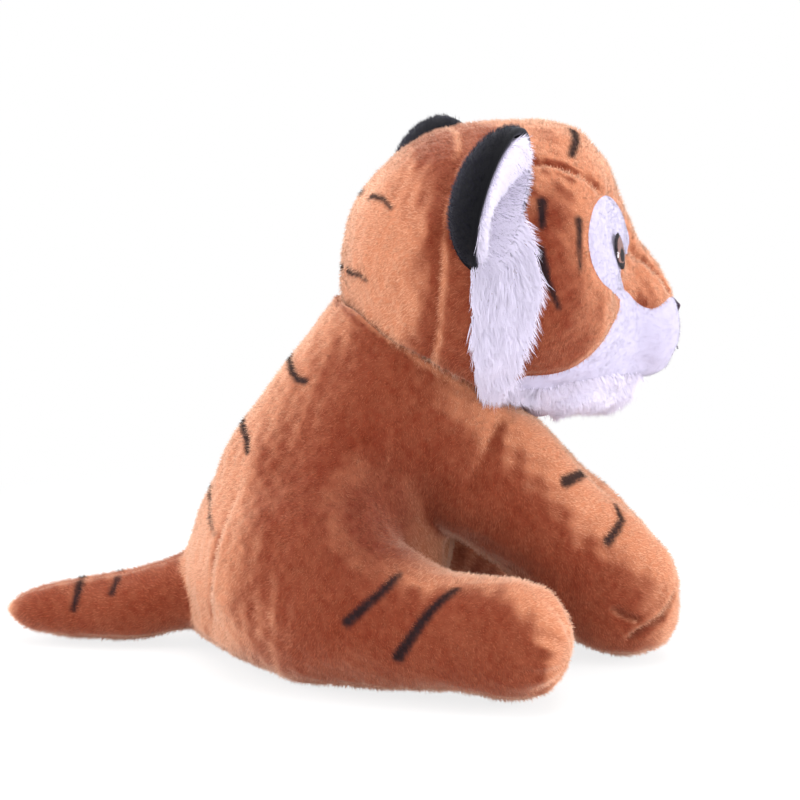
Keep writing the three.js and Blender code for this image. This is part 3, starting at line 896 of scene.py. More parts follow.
@dataclass(frozen=True)
class ThreadFinish:
    """Embroidery thread with a silky gloss, whose colour changes from stitch to stitch."""

    name: str
    slot: Slot
    shades: tuple[tuple[float, tuple[float, ...]], ...]
    dark: tuple[float, ...] = (0.02, 0.015, 0.015, 1.0)
    dulling: float = 0.55
    twist_scale: float = 2600.0
    twist_tone: float = 0.6
    roughness: float = 0.42
    twist_roughness: float = 0.2
    relief: float = 0.4
    relief_depth: float = 0.1 * MM
    gloss: float = 0.25

    def material(self) -> bpy.types.Material:
        """Reads each stitch's shade from 0 to 1 and finds its colour on a ramp."""
        bench = Bench(self.name)
        ramp_node = bench.node("ShaderNodeValToRGB", {"stops": list(self.shades)}, {0: bench.number("shade")})
        thread = ramp_node.outputs[0]
        twist = bench.noise(self.twist_scale)
        dull = bench.mixed(self.dulling, thread, self.dark)
        values = {
            "Base Color": bench.mixed(self.dulling + twist * self.twist_tone, dull, thread),
            "Roughness": self.roughness + twist * self.twist_roughness,
            "Normal": bench.bump(twist, self.relief, self.relief_depth),
            "Specular IOR Level": self.gloss,
        }
        return bench.finish(bench.shader(values))


ORANGE = PlushFinish(
    "orange_minky",
    Slot.ORANGE,
    root_deep=colour(106, 38, 17),
    root_light=colour(172, 108, 78),
    tip_deep=colour(165, 75, 44),
    tip_light=colour(248, 188, 154),
    sheen=1.0,
    sheen_tint=(1.0, 0.66, 0.5, 1.0),
    contrast=0.12,
    brushing=0.3,
    painted_sheen_weight=0.95,
)
WHITE = PlushFinish(
    "white_minky",
    Slot.WHITE,
    root_deep=colour(175, 169, 192),
    root_light=colour(179, 173, 196),
    tip_deep=colour(177, 171, 194),
    tip_light=colour(182, 177, 199),
    sheen=0.1,
    nap=0.12,
    sheen_tint=(1.0, 0.98, 1.0, 1.0),
)
LONG_WHITE = PlushFinish(
    "long_white_fur",
    Slot.LONG_WHITE,
    root_deep=colour(220, 212, 236),
    root_light=colour(224, 216, 239),
    tip_deep=colour(226, 219, 241),
    tip_light=colour(232, 226, 245),
    sheen=0.1,
    nap=0.12,
    sheen_tint=(1.0, 0.98, 1.0, 1.0),
)
EAR_WHITE = replace(LONG_WHITE, name="white_ear_fur", slot=Slot.WHITE)
BLACK = PlushFinish(
    "black_minky",
    Slot.BLACK,
    root_deep=colour(5, 5, 9),
    root_light=colour(9, 8, 15),
    tip_deep=colour(9, 9, 16),
    tip_light=colour(24, 22, 36),
    sheen=0.12,
    sheen_tint=(0.8, 0.8, 1.0, 1.0),
)
FIBRE = FibreFinish()
CALICO = WovenFinish()
EYE_THREAD = ThreadFinish(
    "eye_embroidery",
    Slot.THREAD,
    (
        (0.0, colour(26, 20, 26)),
        (0.3, colour(30, 22, 28)),
        (0.45, colour(112, 66, 54)),
        # white for the eye's painted highlight
        (1.0, colour(250, 248, 252)),
    ),
)
MOUTH_THREAD = ThreadFinish(
    "mouth_embroidery", Slot.THREAD, ((0.0, colour(64, 60, 78)), (1.0, colour(96, 92, 112)))
)
NOSE_THREAD = ThreadFinish(
    "nose_embroidery", Slot.NOSE, ((0.0, colour(66, 52, 62)), (1.0, colour(104, 86, 98)))
)


class Wardrobe:
    """Each finish's material, made once."""

    def __init__(self) -> None:
        """Starts empty."""
        self.made: dict[str, bpy.types.Material] = {}

    def dress(self, finish: object) -> bpy.types.Material:
        """The material of a finish."""
        if finish.name not in self.made:
            self.made[finish.name] = finish.material()
        return self.made[finish.name]


WARDROBE = Wardrobe()


# Pile

SCATTER_ROWS = ((12.9898, 78.233, 37.719), (39.346, 11.135, 83.155), (73.156, 52.235, 9.151))
SCATTER_SCALE = 43758.5453
TO_SQUARE_METRE = 1e6
ROOT_DEPTH = 0.35 * MM
FLOOR_CLEARANCE = 0.1 * MM
TONE_PATCH = 3 * MM


@dataclass(frozen=True)
class Pile:
    """Strands of one kind: how many stand on a square millimetre, how long and wide, and how they lie."""

    density: float = 2.1
    length: float = 1.5 * MM
    width: float = 0.26 * MM
    lean: float = 44.0
    scatter: float = 0.3
    clump: float = 1.3 * MM
    pull: float = 0.35
    segments: int = 1
    droop: float = 0.0
    uneven: float = 0.3
    relief: float = 0.3
    least_rise: float = 0.25
    lift: float = 0.6
    clump_uneven: float = 0.16
    taper: float = 0.75


def strewn(surface: Surface, share: Array, density: float, seed: int) -> tuple[Array, Array]:
    """Roots strewn over a surface by area.

    Each face is two triangles. A root is a corner plus two random shares of the sides, folded back inside.

    Args:
        surface: Where the pile grows.
        share: How thick the pile is on each face, from 0 to 1.
        density: Roots to the square millimetre where the share is 1.
        seed: Fixes the random numbers.

    Returns:
        The roots and the surface's direction at each.
    """
    rng = np.random.default_rng(seed)
    faces = np.concatenate([surface.faces[:, [0, 1, 2]], surface.faces[:, [0, 2, 3]]])
    normals = surface.normals()
    a, b, c = (surface.points[faces[:, k]] for k in range(3))
    area = np.linalg.norm(np.cross(b - a, c - a), axis=1) / 2 * np.tile(share, 2)
    total = int(area.sum() * (density * TO_SQUARE_METRE))
    chosen = np.searchsorted(np.cumsum(area) / area.sum(), rng.random(total)).clip(0, len(faces) - 1)
    u, v = rng.random(total), rng.random(total)
    folded = u + v > 1
    u, v = np.where(folded, 1 - u, u)[:, None], np.where(folded, 1 - v, v)[:, None]
    corner = [faces[chosen, k] for k in range(3)]

    def spread(values: Array) -> Array:
        """Values between a face's corners."""
        return values[corner[0]] * (1 - u - v) + values[corner[1]] * u + values[corner[2]] * v

    return spread(surface.points), unit(spread(normals))


def scattered(cells: Array) -> Array:
    """Three numbers from 0 to 1 that are always the same for a cell: the tail digits of a large sine."""
    mixed = np.stack([cells @ row for row in SCATTER_ROWS])
    return np.modf(np.abs(np.sin(mixed.T) * SCATTER_SCALE))[0]


def strand_faces(segments: int) -> Array:
    """One strand's faces: its foot, three sides for each lower segment and three that meet at the tip."""
    lower = [(3 * s, k, (k + 1) % 3) for s in range(segments - 1) for k in range(3)]
    sides = [[s + k, s + after, s + 3 + after, s + 3 + k] for s, k, after in lower]
    top, tip = 3 * (segments - 1), 3 * segments
    tips = [[top + k, top + (k + 1) % 3, tip, tip] for k in range(3)]
    return np.array([[0, 2, 1, 1], *sides, *tips])


def grown(
    name: str,
    roots: Array,
    normals: Array,
    comb: Array,
    pile: Pile,
    finish: PlushFinish,
    seed: int,
    stripe: Array | None = None,
    stretch: Array | None = None,
) -> bpy.types.Object:
    """Pile as one piece: every strand is a closed three-sided spike, bent where it has several segments.

    A strand runs from its root along a direction between the surface's own and the combed one, drawn to its
    clump's middle and drooping with the square of how far along it is. Its width falls towards the tip.

    Args:
        name: The piece's name.
        roots: Where the strands stand.
        normals: The surface's direction there.
        comb: The way the pile is brushed, for each root.
        pile: The kind of strand.
        finish: Its colour.
        seed: Fixes the random numbers.
        stripe: How dark each strand is: the stripes, and on the body a painted shade in the toe folds and
            beside the thigh.
        stretch: A factor on each strand's length.

    Returns:
        The object.
    """
    rng = np.random.default_rng(seed)
    count = len(roots)
    lean = math.radians(pile.lean)
    brushed = unit(flattened(comb, normals) + 1e-9)
    stray = rng.normal(size=(count, 3)) * pile.scatter
    way = unit(normals * math.cos(lean) + brushed * math.sin(lean) + stray)
    low = dot(way, normals)[:, None] < pile.least_rise
    way = unit(np.where(low, way + normals * pile.lift, way))
    cell = np.floor(roots / pile.clump)
    jitter = scattered(cell)
    heart = (cell + 0.15 + 0.7 * jitter) * pile.clump
    clump_tone = jitter[:, 0] * 2 - 1
    long = pile.length * (1 + pile.uneven * rng.uniform(-1, 1, count)) * (1 + pile.clump_uneven * clump_tone)
    long = long if stretch is None else long * stretch
    gather = flattened(heart - roots, normals) * pile.pull
    end = roots + way * long[:, None] + gather
    sag = np.array([0, 0, -pile.droop]) * long[:, None]
    side = unit(np.cross(way, rng.normal(size=(count, 3))))
    other = np.cross(way, side)
    angle = np.array([0, 2, 4]) * math.pi / 3
    spokes = side[:, None] * np.cos(angle)[:, None] + other[:, None] * np.sin(angle)[:, None]
    steps = np.arange(pile.segments + 1) / pile.segments
    foot = roots - normals * ROOT_DEPTH
    line = foot[:, None] + (end - foot)[:, None] * steps[:, None] + sag[:, None] * (steps**2)[:, None]
    line[..., 2] = np.maximum(line[..., 2], ROOT_DEPTH)
    slim = pile.width / 2 * (1 - pile.taper * steps[:-1]) * np.ones((count, 1))
    ring = line[:, :-1, None, :] + slim[..., None, None] * spokes[:, None]
    points = np.concatenate([ring.reshape(count, -1, 3), line[:, -1:]], axis=1)
    points[..., 2] = np.maximum(points[..., 2], FLOOR_CLEARANCE)
    each = points.shape[1]
    pattern = strand_faces(pile.segments)
    faces = (np.arange(count)[:, None, None] * each + pattern).reshape(-1, 4)
    up_strand = np.concatenate([np.repeat(steps[:-1], 3), [1.0]])
    tone = 0.65 * rng.uniform(-1, 1, count) + 0.35 * clump_tone
    ink = np.zeros(count) if stripe is None else stripe
    # height lets the finish paint the roots darker as shade; pale is the painted sheen at each root
    values = {
        "height": np.tile(up_strand, count),
        "tone": np.repeat(tone, each),
        "pale": np.repeat(painted_sheen(roots, normals), each),
        "stripe": np.repeat(ink, each),
    }
    piece = make_piece(name, Surface(points.reshape(-1, 3), faces), WARDROBE.dress(finish), values)
    outward = np.concatenate([np.tile(spokes, (1, pile.segments, 1)), way[:, None]], axis=1)
    shade = unit(normals[:, None] * 0.9 + outward * pile.relief)
    piece.data.normals_split_custom_set_from_vertices(shade.reshape(-1, 3))
    strand_map(piece.data, count, len(pattern))
    return piece


def strand_map(mesh: bpy.types.Mesh, strands: int, faces_each: int) -> None:
    """Lays every strand's faces side by side in a small cell of their own.

    The cells fill a square grid. In its cell a face is a column, from the root below to the tip above.

    Args:
        mesh: The pile's mesh.
        strands: How many strands it has.
        faces_each: Faces on each strand.
    """
    margin = 0.08
    across = math.ceil(math.sqrt(strands))
    strand = np.arange(strands)
    corner = np.stack([strand % across, strand // across], axis=1)
    totals = np.empty(len(mesh.polygons), np.int32)
    mesh.polygons.foreach_get("loop_total", totals)
    flat = []
    for k, total in enumerate(totals[:faces_each]):
        left, right = (k + margin) / faces_each, (k + 1 - margin) / faces_each
        shape = [[left, margin], [right, margin], [right, 1 - margin], [left, 1 - margin]]
        flat += shape if total == 4 else [shape[0], shape[1], [(left + right) / 2, 1 - margin]]
    places = (corner[:, None] + np.array(flat)) / across
    layer = mesh.uv_layers.new(name="OFBake")
    layer.data.foreach_set("uv", places.astype(np.float32).ravel())


def sewn(
    name: str, node: str, surface: Surface, finish: PlushFinish, stripe: Array, pale: Array, seed: int
) -> bpy.types.Object:
    """A skin that takes the place of one solid.

    Args:
        name: The piece's name.
        node: The solid's name.
        surface: The closed skin.
        finish: Its cloth.
        stripe: How dark each point is: the stripes, and on the body a painted shade in the toe folds and beside
            the thigh.
        pale: How much painted sheen each point gets, paler where the skin faces up, forward or back.
        seed: Fixes the cloth's unevenness.

    Returns:
        The object.
    """
    tone = lumps(surface.points, TONE_PATCH, seed) * 0.5
    skin = make_piece(name, surface, WARDROBE.dress(finish), {"stripe": stripe, "tone": tone, "pale": pale})
    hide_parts(node)
    return skin


def stuffed(
    name: str, node: str, surface: Surface, finish: object, swells: tuple[Swell, ...]
) -> bpy.types.Object:
    """A filling that takes the place of one solid, with a lumpy surface.

    Args:
        name: The piece's name.
        node: The solid's name.
        surface: The filling's closed surface.
        finish: What it is made of.
        swells: Its lumps.

    Returns:
        The object.
    """
    height = sum(swell.at(surface.points) for swell in swells)
    surface.points += surface.normals() * height[:, None]
    filling = make_piece(name, surface, WARDROBE.dress(finish))
    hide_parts(node)
    return filling


# The body: torso, legs and tail in one run of skin


@dataclass(frozen=True)
class LegJoint:
    """Where a limb's skin is a piece of its own, and over which shares of its run it bends."""

    cut: float
    start: float
    end: float


@dataclass
class Body:
    """The torso, the legs and the tail, whose skin runs on from one to the next."""

    torso_high: float = 130 * MM
    torso_deep: float = 100 * MM
    torso_wide: float = 96 * MM
    seat_middle: float = -36 * MM
    neck: Triple = (0.0, -47 * MM, 112 * MM)
    neck_tilt: float = 28.6
    belly_half: float = 17 * MM
    seat_high: float = 3.2 * MM
    inset: float = 0.6 * MM
    skin: float = 1.2 * MM
    cell: float = 1.35 * MM
    thigh_fillets: tuple[float, float] = (3 * MM, 26 * MM)
    thigh_rise: tuple[float, float] = (-46 * MM, 30 * MM)
    thigh_fall: tuple[float, float] = (-12 * MM, 26 * MM)
    thigh_loss: float = 0.35
    shoulder_fillets: tuple[float, float] = (4 * MM, 12 * MM)
    shoulder_rise: tuple[float, float] = (61 * MM, 22 * MM)
    tail_fillet: float = 4 * MM
    armpit: Triple = (42 * MM, -53 * MM, 49 * MM)
    armpit_dip: Groove = Groove(7 * MM, 13 * MM)
    neck_gap: float = 2.6 * MM
    neck_hem: float = 0.05 * MM
    hem_round: float = 0.8 * MM
    shoulder_round: float = 4 * MM
    floor_gap: float = 0.5 * MM
    floor_round: float = 3 * MM
    foreleg_root: Triple = (21 * MM, -12 * MM, 84 * MM)
    foreleg_run: Triple = (-2.8 * MM, -68.5 * MM, -60.8 * MM)
    foreleg_size: tuple[float, float] = (56 * MM, 37 * MM)
    hindleg_root: Triple = (45 * MM, 30 * MM, 34 * MM)
    hindleg_run: Triple = (21 * MM, -66 * MM, -12 * MM)
    hindleg_size: tuple[float, float] = (68 * MM, 44 * MM)
    tail_root: Triple = (0, 79.3 * MM, 19 * MM)
    tail_length: float = 68 * MM
    tail_thick: float = 28 * MM
    tail_rise: float = 6.4 * MM
    tail_cut: float = 41 * MM
    foreleg_below_neck: float = 7 * MM
    tail_bend: tuple[float, float] = (43 * MM, 62 * MM)
    neck_bend: tuple[float, float] = (6.5 * MM, 0.8 * MM)
    spine_seam: Groove = Groove(0.5 * MM, 1.6 * MM)
    belly_seam: Groove = Groove(0.7 * MM, 1.6 * MM)
    seat_seam: Groove = Groove(0.6 * MM, 1.3 * MM)
    toe_depth: float = 1.8 * MM
    toe_soft: float = 1.3 * MM
    pucker_depth: float = 0.5 * MM
    fold_depth: float = 1.3 * MM
    fold_soft: float = 2.6 * MM
    swells: tuple[Swell, ...] = (Swell(0.45 * MM, 24 * MM, 3), Swell(0.16 * MM, 7 * MM, 5))
    filling_gap: float = 2.4 * MM
    filling_floor: float = 3.5 * MM
    filling_round: float = 3 * MM
    filling_cell: float = 2.6 * MM
    filling_roots: tuple[float, float] = (0.3, 0.1)
    bag_high: float = 17 * MM
    bag_cell: float = 2.2 * MM
    bag_edge: float = 6 * MM
    bag_round: float = 4 * MM
    bag_swells: tuple[Swell, ...] = (Swell(0.3 * MM, 3.2 * MM, 61), Swell(0.4 * MM, 15 * MM, 62))
    pile: Pile = field(default_factory=Pile)
    pile_low: float = 1.0 * MM
    foreleg_fullness: dict[Side, float] = field(default_factory=lambda: {Side.RIGHT: 1.04, Side.LEFT: 0.93})
    foreleg_joint: LegJoint = LegJoint(0.43, 0.46, 0.9)
    hindleg_joint: LegJoint = LegJoint(0.3, 0.33, 0.85)
    torso_rows: Rows = (
        (-0.008, 0.36, 0, 0), (-0.006, 0.36, 0.56, 0.56), (0.015, 0.37, 0.71, 0.7), (0.05, 0.37, 0.8, 0.8),
        (0.138, 0.33, 0.94, 0.93), (0.238, 0.31, 1, 1), (0.354, 0.27, 0.98, 0.99), (0.462, 0.22, 0.96, 0.96),
        (0.562, 0.173, 0.95, 0.91), (0.721, 0.063, 0.888, 0.835), (0.877, -0.05, 0.82, 0.77),
        (1, -0.14, 0.74, 0.7), (1.1, -0.2, 0.5, 0.5), (1.15, -0.23, 0, 0),
    )
    foreleg_rows: Rows = (
        (-0.16, 0, 0, 0), (-0.1, 0, 0.62, 0.62), (0, 0, 0.86, 0.86), (0.213, 0.02, 0.96, 1),
        (0.4, 0.035, 0.86, 1),
        (0.565, 0.03, 0.81, 0.99), (0.843, 0.01, 0.835, 0.97), (1, 0, 0.825, 0.94),
        (1.12, -0.01, 0.71, 0.82), (1.2, -0.02, 0.5, 0.6), (1.245, -0.02, 0.26, 0.32), (1.26, -0.02, 0, 0),
    )
    hindleg_rows: Rows = (
        (-0.507, 0, 0, 0), (-0.49, 0, 0.26, 0.28), (-0.43, 0, 0.49, 0.5), (-0.33, 0, 0.71, 0.7),
        (-0.18, -0.01, 0.88, 0.86), (0, -0.025, 0.95, 0.97), (0.2, -0.045, 0.865, 0.98),
        (0.42, -0.06, 0.75, 0.97), (0.65, -0.055, 0.64, 0.93), (0.85, -0.02, 0.62, 0.87), (1, 0, 0.63, 0.84),
        (1.14, 0, 0.58, 0.76), (1.25, 0, 0.43, 0.62), (1.31, 0, 0.24, 0.34), (1.33, 0, 0, 0),
    )
    tail_rows: Rows = (
        (-0.205, 0, 0, 0), (-0.19, 0, 0.36, 0.36), (-0.14, 0, 0.73, 0.73), (-0.07, 0, 0.94, 0.94),
        (0, 0, 1, 1), (0.14, 0.4, 1, 1), (0.3, 0.84, 0.985, 0.985), (0.5, 1.02, 0.89, 0.89),
        (0.66, 1.08, 0.8, 0.8),
        (0.78, 1.08, 0.7, 0.7), (0.89, 1.03, 0.54, 0.54), (0.96, 1, 0.33, 0.33), (1, 1, 0, 0),
    )
    stripes: tuple[Stripe, ...] = (
        Stripe(
            ((0, 4.0, 108), (-7.6, 3.5, 107.4), (-16.5, 1.9, 105), (-21, 0.2, 103.2), (-25, -2.4, 103.6)),
            3.4, 2.6,
        ),
        Stripe(((0, 21.4, 84), (-7.5, 20.9, 83.3), (-16.7, 19.4, 81.1), (-23, 18, 77.4)), 3.4, 2.8),
        Stripe(((0, 35.5, 60), (-10, 34.5, 57.5), (-19.1, 32.7, 53.2), (-31, 27.3, 48)), 2.4, 1.4),
        Stripe(((-67.3, -37.3, 48.4), (-72.1, -29.3, 40.4), (-71.5, -18.2, 29.8)), 2.8, 3.8),
        Stripe(
            ((-71.3, -54.7, 43), (-76.6, -45.6, 35.3), (-77.4, -40, 26.9), (-75.3, -35.3, 18.8)),
            2.8, 4.2,
        ),
        Stripe(((-30.8, -94.0, 68.2), (-27.2, -97.5, 68.9), (-22.7, -99.6, 68.4)), 4.6, 3.6),
        Stripe(((-21.4, -113.2, 57.3), (-26, -115.4, 53.4), (-33.1, -109.7, 47.3)), 2.0, 3.8),
        Stripe(((0, 83.2, 26.5), (-7.6, 83.5, 20.7), (-10.8, 84.6, 15.2)), 3.6, 2.4),
        Stripe(((0, 69.0, 29.5), (-6.5, 69.4, 24.6), (-10.2, 70.5, 20.8)), 2.6, 2.2),
    )
    toe_folds: tuple[Stripe, ...] = (
        Stripe(
            ((-32.4, -118.5, 11.5), (-33, -123.7, 14.7), (-31.4, -129.2, 17.6), (-29.4, -133, 21.4),
             (-27, -135.5, 25)),
            2.0, 1.6,
        ),
        Stripe(((-35.3, -112.5, 22.2), (-34.8, -116.5, 19.8), (-34, -120.9, 18.1)), 1.4, 1.0),
        Stripe(((-9.4, -119, 11), (-8.6, -124, 14.5), (-9.6, -130, 18), (-12, -134, 22)), 1.8, 1.6),
    )
    shoulder_crease: Stripe = Stripe(
        ((-31.2, -71.1, 91), (-35.6, -67.4, 84.5), (-38, -63.9, 76.1), (-38.4, -61.1, 67.9)), 3.0, 5.0
    )

    def __post_init__(self) -> None:
        """Works out the forms from the sizes."""
        y = self.seat_middle
        self.torso = StuffedForm(
            self.torso_rows, (0, y, 0), (0, 0, self.torso_high),
            self.torso_deep, self.torso_wide, self.torso_deep,
        )
        across, along, up = self.foreleg_root
        high, wide = self.foreleg_size
        self.forelegs = {
            side: StuffedForm(
                self.foreleg_rows, (across, along + y, up), self.foreleg_run, full * high, wide, full * high
            )
            for side, full in self.foreleg_fullness.items()
        }
        across, along, up = self.hindleg_root
        high, wide = self.hindleg_size
        self.hindleg = StuffedForm(
            self.hindleg_rows, (across, along + y, up), self.hindleg_run, high, wide, high
        )
        across, along, up = self.tail_root
        thick = self.tail_thick
        self.tail = StuffedForm(
            self.tail_rows, (across, along + y, up), (0, self.tail_length, 0), thick, thick, self.tail_rise
        )
        tilt = math.radians(self.neck_tilt)
        self.neck_way = np.array([0, -math.sin(tilt), math.cos(tilt)])

    def past_neck(self, points: Array) -> Array:
        """How far points lie on the head's side of the neck seam."""
        return (points - np.array(self.neck)) @ self.neck_way

    def trunk(self, points: Array) -> Array:
        """How far points lie outside the torso, which dips behind each foreleg where it meets the thigh."""
        away = np.linalg.norm(folded_over(points) - np.array(self.armpit), axis=1)
        return self.torso.distance(points) + self.armpit_dip.at(away)

    def foreleg_distance(self, points: Array) -> Array:
        """How far points lie outside the nearer foreleg."""
        both = [form.distance(points * [side.value, 1, 1]) for side, form in self.forelegs.items()]
        return np.min(both, axis=0)

    def distance(self, points: Array) -> Array:
        """Torso, thighs, forelegs and tail joined with fillets, trimmed at the neck and the floor.

        The fillets are small where the legs leave the belly and grow over the flank and the shoulder.
        """
        along, up = points[:, 1], points[:, 2]
        low, high = self.thigh_fillets
        flank = ramp(along, *self.thigh_rise) * (1 - self.thigh_loss * ramp(along, *self.thigh_fall))
        thigh_fillet = low + (high - low) * flank
        low, high = self.shoulder_fillets
        shoulder_fillet = low + (high - low) * ramp(up, *self.shoulder_rise)
        torso, neck = self.trunk(points), self.past_neck(points)
        rear = joined(torso, self.hindleg.distance(folded_over(points)), thigh_fillet)
        rear = joined(rear, self.tail.distance(points), self.tail_fillet)
        foreleg = trimmed(self.foreleg_distance(points), neck + self.neck_gap, self.shoulder_round)
        form = np.minimum(rear, joined(torso, foreleg, shoulder_fillet)) + self.inset
        form = trimmed(form, neck + self.neck_hem, self.hem_round)
        return trimmed(form, self.floor_gap - up, self.floor_round)

    def rough_parts(self, grow: float) -> list[tuple[Array, Array]]:
        """The forms as closed hulls, pressed flat at the neck and the floor."""
        parts = []
        legs = [(form, (side.value,)) for side, form in self.forelegs.items()]
        for form, ways in ((self.torso, (1,)), (self.tail, (1,)), *legs, (self.hindleg, (1, -1))):
            points, faces = form.hull(grow)
            points = points - np.maximum(self.past_neck(points) + 1 * MM, 0)[:, None] * self.neck_way
            points[:, 2] = np.maximum(points[:, 2], 1 * MM)
            parts += [(points * [way, 1, 1], faces if way > 0 else faces[:, [1, 0, 3, 2]]) for way in ways]
        return parts

    def toe_creases(self, points: Array, normals: Array) -> Array:
        """How deep the forepaws' stitched toe folds press in, from 0 to 1."""
        return np.max([fold.mask(points, normals, self.toe_soft) for fold in self.toe_folds], axis=0)

    def shaped(self, surface: Surface) -> Surface:
        """The bare form with what sewing and stuffing do to it: seams drawn in, folds, puckers and lumps."""
        points = surface.points
        normals = surface.normals()
        side = np.abs(points[:, 0])
        folded = folded_over(points)
        legs = np.minimum(self.hindleg.distance(folded), self.foreleg_distance(points))
        on_torso = self.trunk(points) < legs
        rear = on_torso & (points[:, 1] > self.seat_middle)
        front = on_torso & (points[:, 1] <= self.seat_middle)
        depth = self.spine_seam.at(side) * rear
        depth += self.belly_seam.at(side - self.belly_half) * front
        depth += self.seat_seam.at(points[:, 2] - self.seat_high)
        depth += self.toe_depth * self.toe_creases(points, normals)
        depth += self.foot_puckers(folded)
        depth += self.fold_depth * self.shoulder_crease.mask(points, normals, self.fold_soft)
        swell = sum(swell.at(points) for swell in self.swells)
        lifted = points + normals * (swell - depth)[:, None]
        lifted[:, 2] = np.maximum(lifted[:, 2], 0.3 * MM)
        return Surface(lifted, surface.faces)

    def darkened(self, points: Array, normals: Array) -> Array:
        """How dark the skin is: the airbrushed stripes, and a painted shade in the toe folds and beside the
        thigh.
        """
        # painted shade: darker colour in the toe folds and where the thigh meets the belly
        shade = np.maximum(0.4 * self.toe_creases(points, normals), 0.22 * pressed(points))
        return np.maximum(marked(points, normals, self.stripes), shade)

    def foot_puckers(self, folded: Array) -> Array:
        """Short folds that run out from the closing stitch at each hind foot: a wave round the foot's run."""
        along, across, up = self.hindleg.axes()
        away = folded - np.array(self.hindleg.root)
        share = away @ along / self.hindleg.length
        angle = np.arctan2(away @ up, away @ across)
        near = ramp(share, 1.08, 0.16)
        return near * self.pucker_depth * (1 + np.sin(angle * 11 + 1.3 * np.sin(angle * 3)))

    def combed(self, points: Array, name: str) -> Array:
        """The way the pile is brushed: down the back, along the legs to the paws, out along the tail.

        Args:
            points: The roots of the strands.
            name: The panel or cover that they grow on.

        Returns:
            A unit direction for each root.
        """
        way = np.tile([0.0, 0.25, -1.0], (len(points), 1))
        if "foreleg" in name:
            way = np.tile(unit(np.array(self.foreleg_run)), (len(points), 1))
        if "hind" in name:
            way = np.tile(unit(np.array(self.hindleg_run) * [0.4, 1, 1]), (len(points), 1)) + [0, 0, -0.5]
        if "tail" in name:
            way = np.tile([0.0, 1.0, -0.15], (len(points), 1))
        return unit(way + swirl(points, 0.35, 30 * MM, 11))

    def labels(self, surface: Surface) -> dict[str, Array]:
        """Which faces belong to each sewn panel."""
        at = surface.middles()
        folded = folded_over(at)
        torso = self.trunk(at)
        fore, hind = self.foreleg_distance(at), self.hindleg.distance(folded)
        fore_share, hind_share = self.forelegs[Side.RIGHT].share_of(folded), self.hindleg.share_of(folded)
        is_fore = (fore < torso) & (fore < hind) & (fore_share > self.foreleg_joint.cut)
        is_fore &= self.past_neck(at) < -self.foreleg_below_neck
        is_hind = (hind < torso) & (hind <= fore) & (hind_share > self.hindleg_joint.cut)
        is_tail = (self.tail.distance(at) < torso) & (at[:, 1] > self.tail_cut)
        limb = is_fore | is_hind | is_tail
        seat = ~limb & (at[:, 2] < self.seat_high)
        belly = ~limb & ~seat & (np.abs(at[:, 0]) < self.belly_half) & (at[:, 1] < self.seat_middle)
        flank = ~(limb | seat | belly)
        right = at[:, 0] < 0
        return {
            "torso_right": flank & right,
            "torso_left": flank & ~right,
            "torso_belly": belly,
            "torso_seat": seat,
            "right_foreleg": is_fore & right,
            "left_foreleg": is_fore & ~right,
            "right_hind_leg": is_hind & right,
            "left_hind_leg": is_hind & ~right,
            "tail": is_tail,
        }

    def hold(self, piece: bpy.types.Object, name: str) -> None:
        """Bakes the place of a piece of skin, pile or filling of a stuffed limb into its mesh; the span where
        the limb would bend is worked out but not used.

        Args:
            piece: The finished piece.
            name: The body at its free end.
        """
        if "leg" in name:
            side = -1 if name.startswith("right") else 1
            form, joint = self.hindleg, self.hindleg_joint
            if "foreleg" in name:
                form, joint = self.forelegs[Side.RIGHT], self.foreleg_joint
            root, run = np.array(form.root) * [side, 1, 1], np.array(form.run) * [side, 1, 1]
            start, end = tuple(root + run * joint.start), tuple(root + run * joint.end)
            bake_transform(piece)
        elif name == "tail":
            start, end = ((0, along, self.tail_root[2]) for along in self.tail_bend)
            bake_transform(piece)
        else:
            start, end = (tuple(np.array(self.neck) - self.neck_way * below) for below in self.neck_bend)
            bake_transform(piece)

    def build(self) -> None:
        """Makes the skins with their pile, and the fillings."""
        rough = remeshed(self.rough_parts(-2.2 * MM), self.cell)
        whole = self.shaped(settled(rough, self.distance))
        whole.directions = whole.normals()
        for seed, (name, mask) in enumerate(self.labels(whole).items()):
            panel = whole.part(mask)
            shell = panel.shell(self.skin)
            node = f"{name}_panel" if name.startswith("torso") else f"{name}_cover"
            # the stripes with the painted shade in the toe folds and beside the thigh, and the painted sheen
            ink = np.tile(self.darkened(panel.points, panel.normals()), 2)
            pale = painted_sheen(shell.points, shell.normals())
            self.hold(sewn(f"{name}_skin", node, shell, ORANGE, ink, pale, 21), name)
            middles = panel.middles()
            shown = (middles[:, 2] > self.pile_low) & (self.past_neck(middles) < -0.2 * MM)
            roots, normals = strewn(panel, shown.astype(float), self.pile.density, seed)
            # the strands take the same stripes and painted shade
            comb, ink = self.combed(roots, name), self.darkened(roots, normals)
            pile = grown(f"{name}_pile", roots, normals, comb, self.pile, ORANGE, 100 + seed, ink)
            self.hold(pile, name)
            log.info("%s: %d faces of skin, %d strands", name, len(shell.faces), len(roots))
        self.build_fillings()

    def build_fillings(self) -> None:
        """Makes the fibre fillings and the pellet bag, each a little inside its skin."""
        depth = self.inset + self.skin + self.filling_gap
        forms = {"torso": self.torso, "tail": self.tail}
        for side in Side:
            forms[f"{side.word}_foreleg"] = self.forelegs[side]
            forms[f"{side.word}_hind_leg"] = self.hindleg
        for seed, (name, form) in enumerate(forms.items()):
            way = -1 if name.startswith("right") else 1
            skin = self.trunk if name == "torso" else form.distance
            limits = self.filling_limits(name)

            def inside(
                points: Array, skin: Callable = skin, way: int = way, limits: Callable = limits
            ) -> Array:
                """The form drawn in under its skin and ended where its neighbours begin."""
                turned = points * [way, 1, 1]
                bare = trimmed(skin(turned) + depth, limits(turned), self.filling_round)
                return trimmed(bare, self.filling_floor - points[:, 2], self.filling_round)

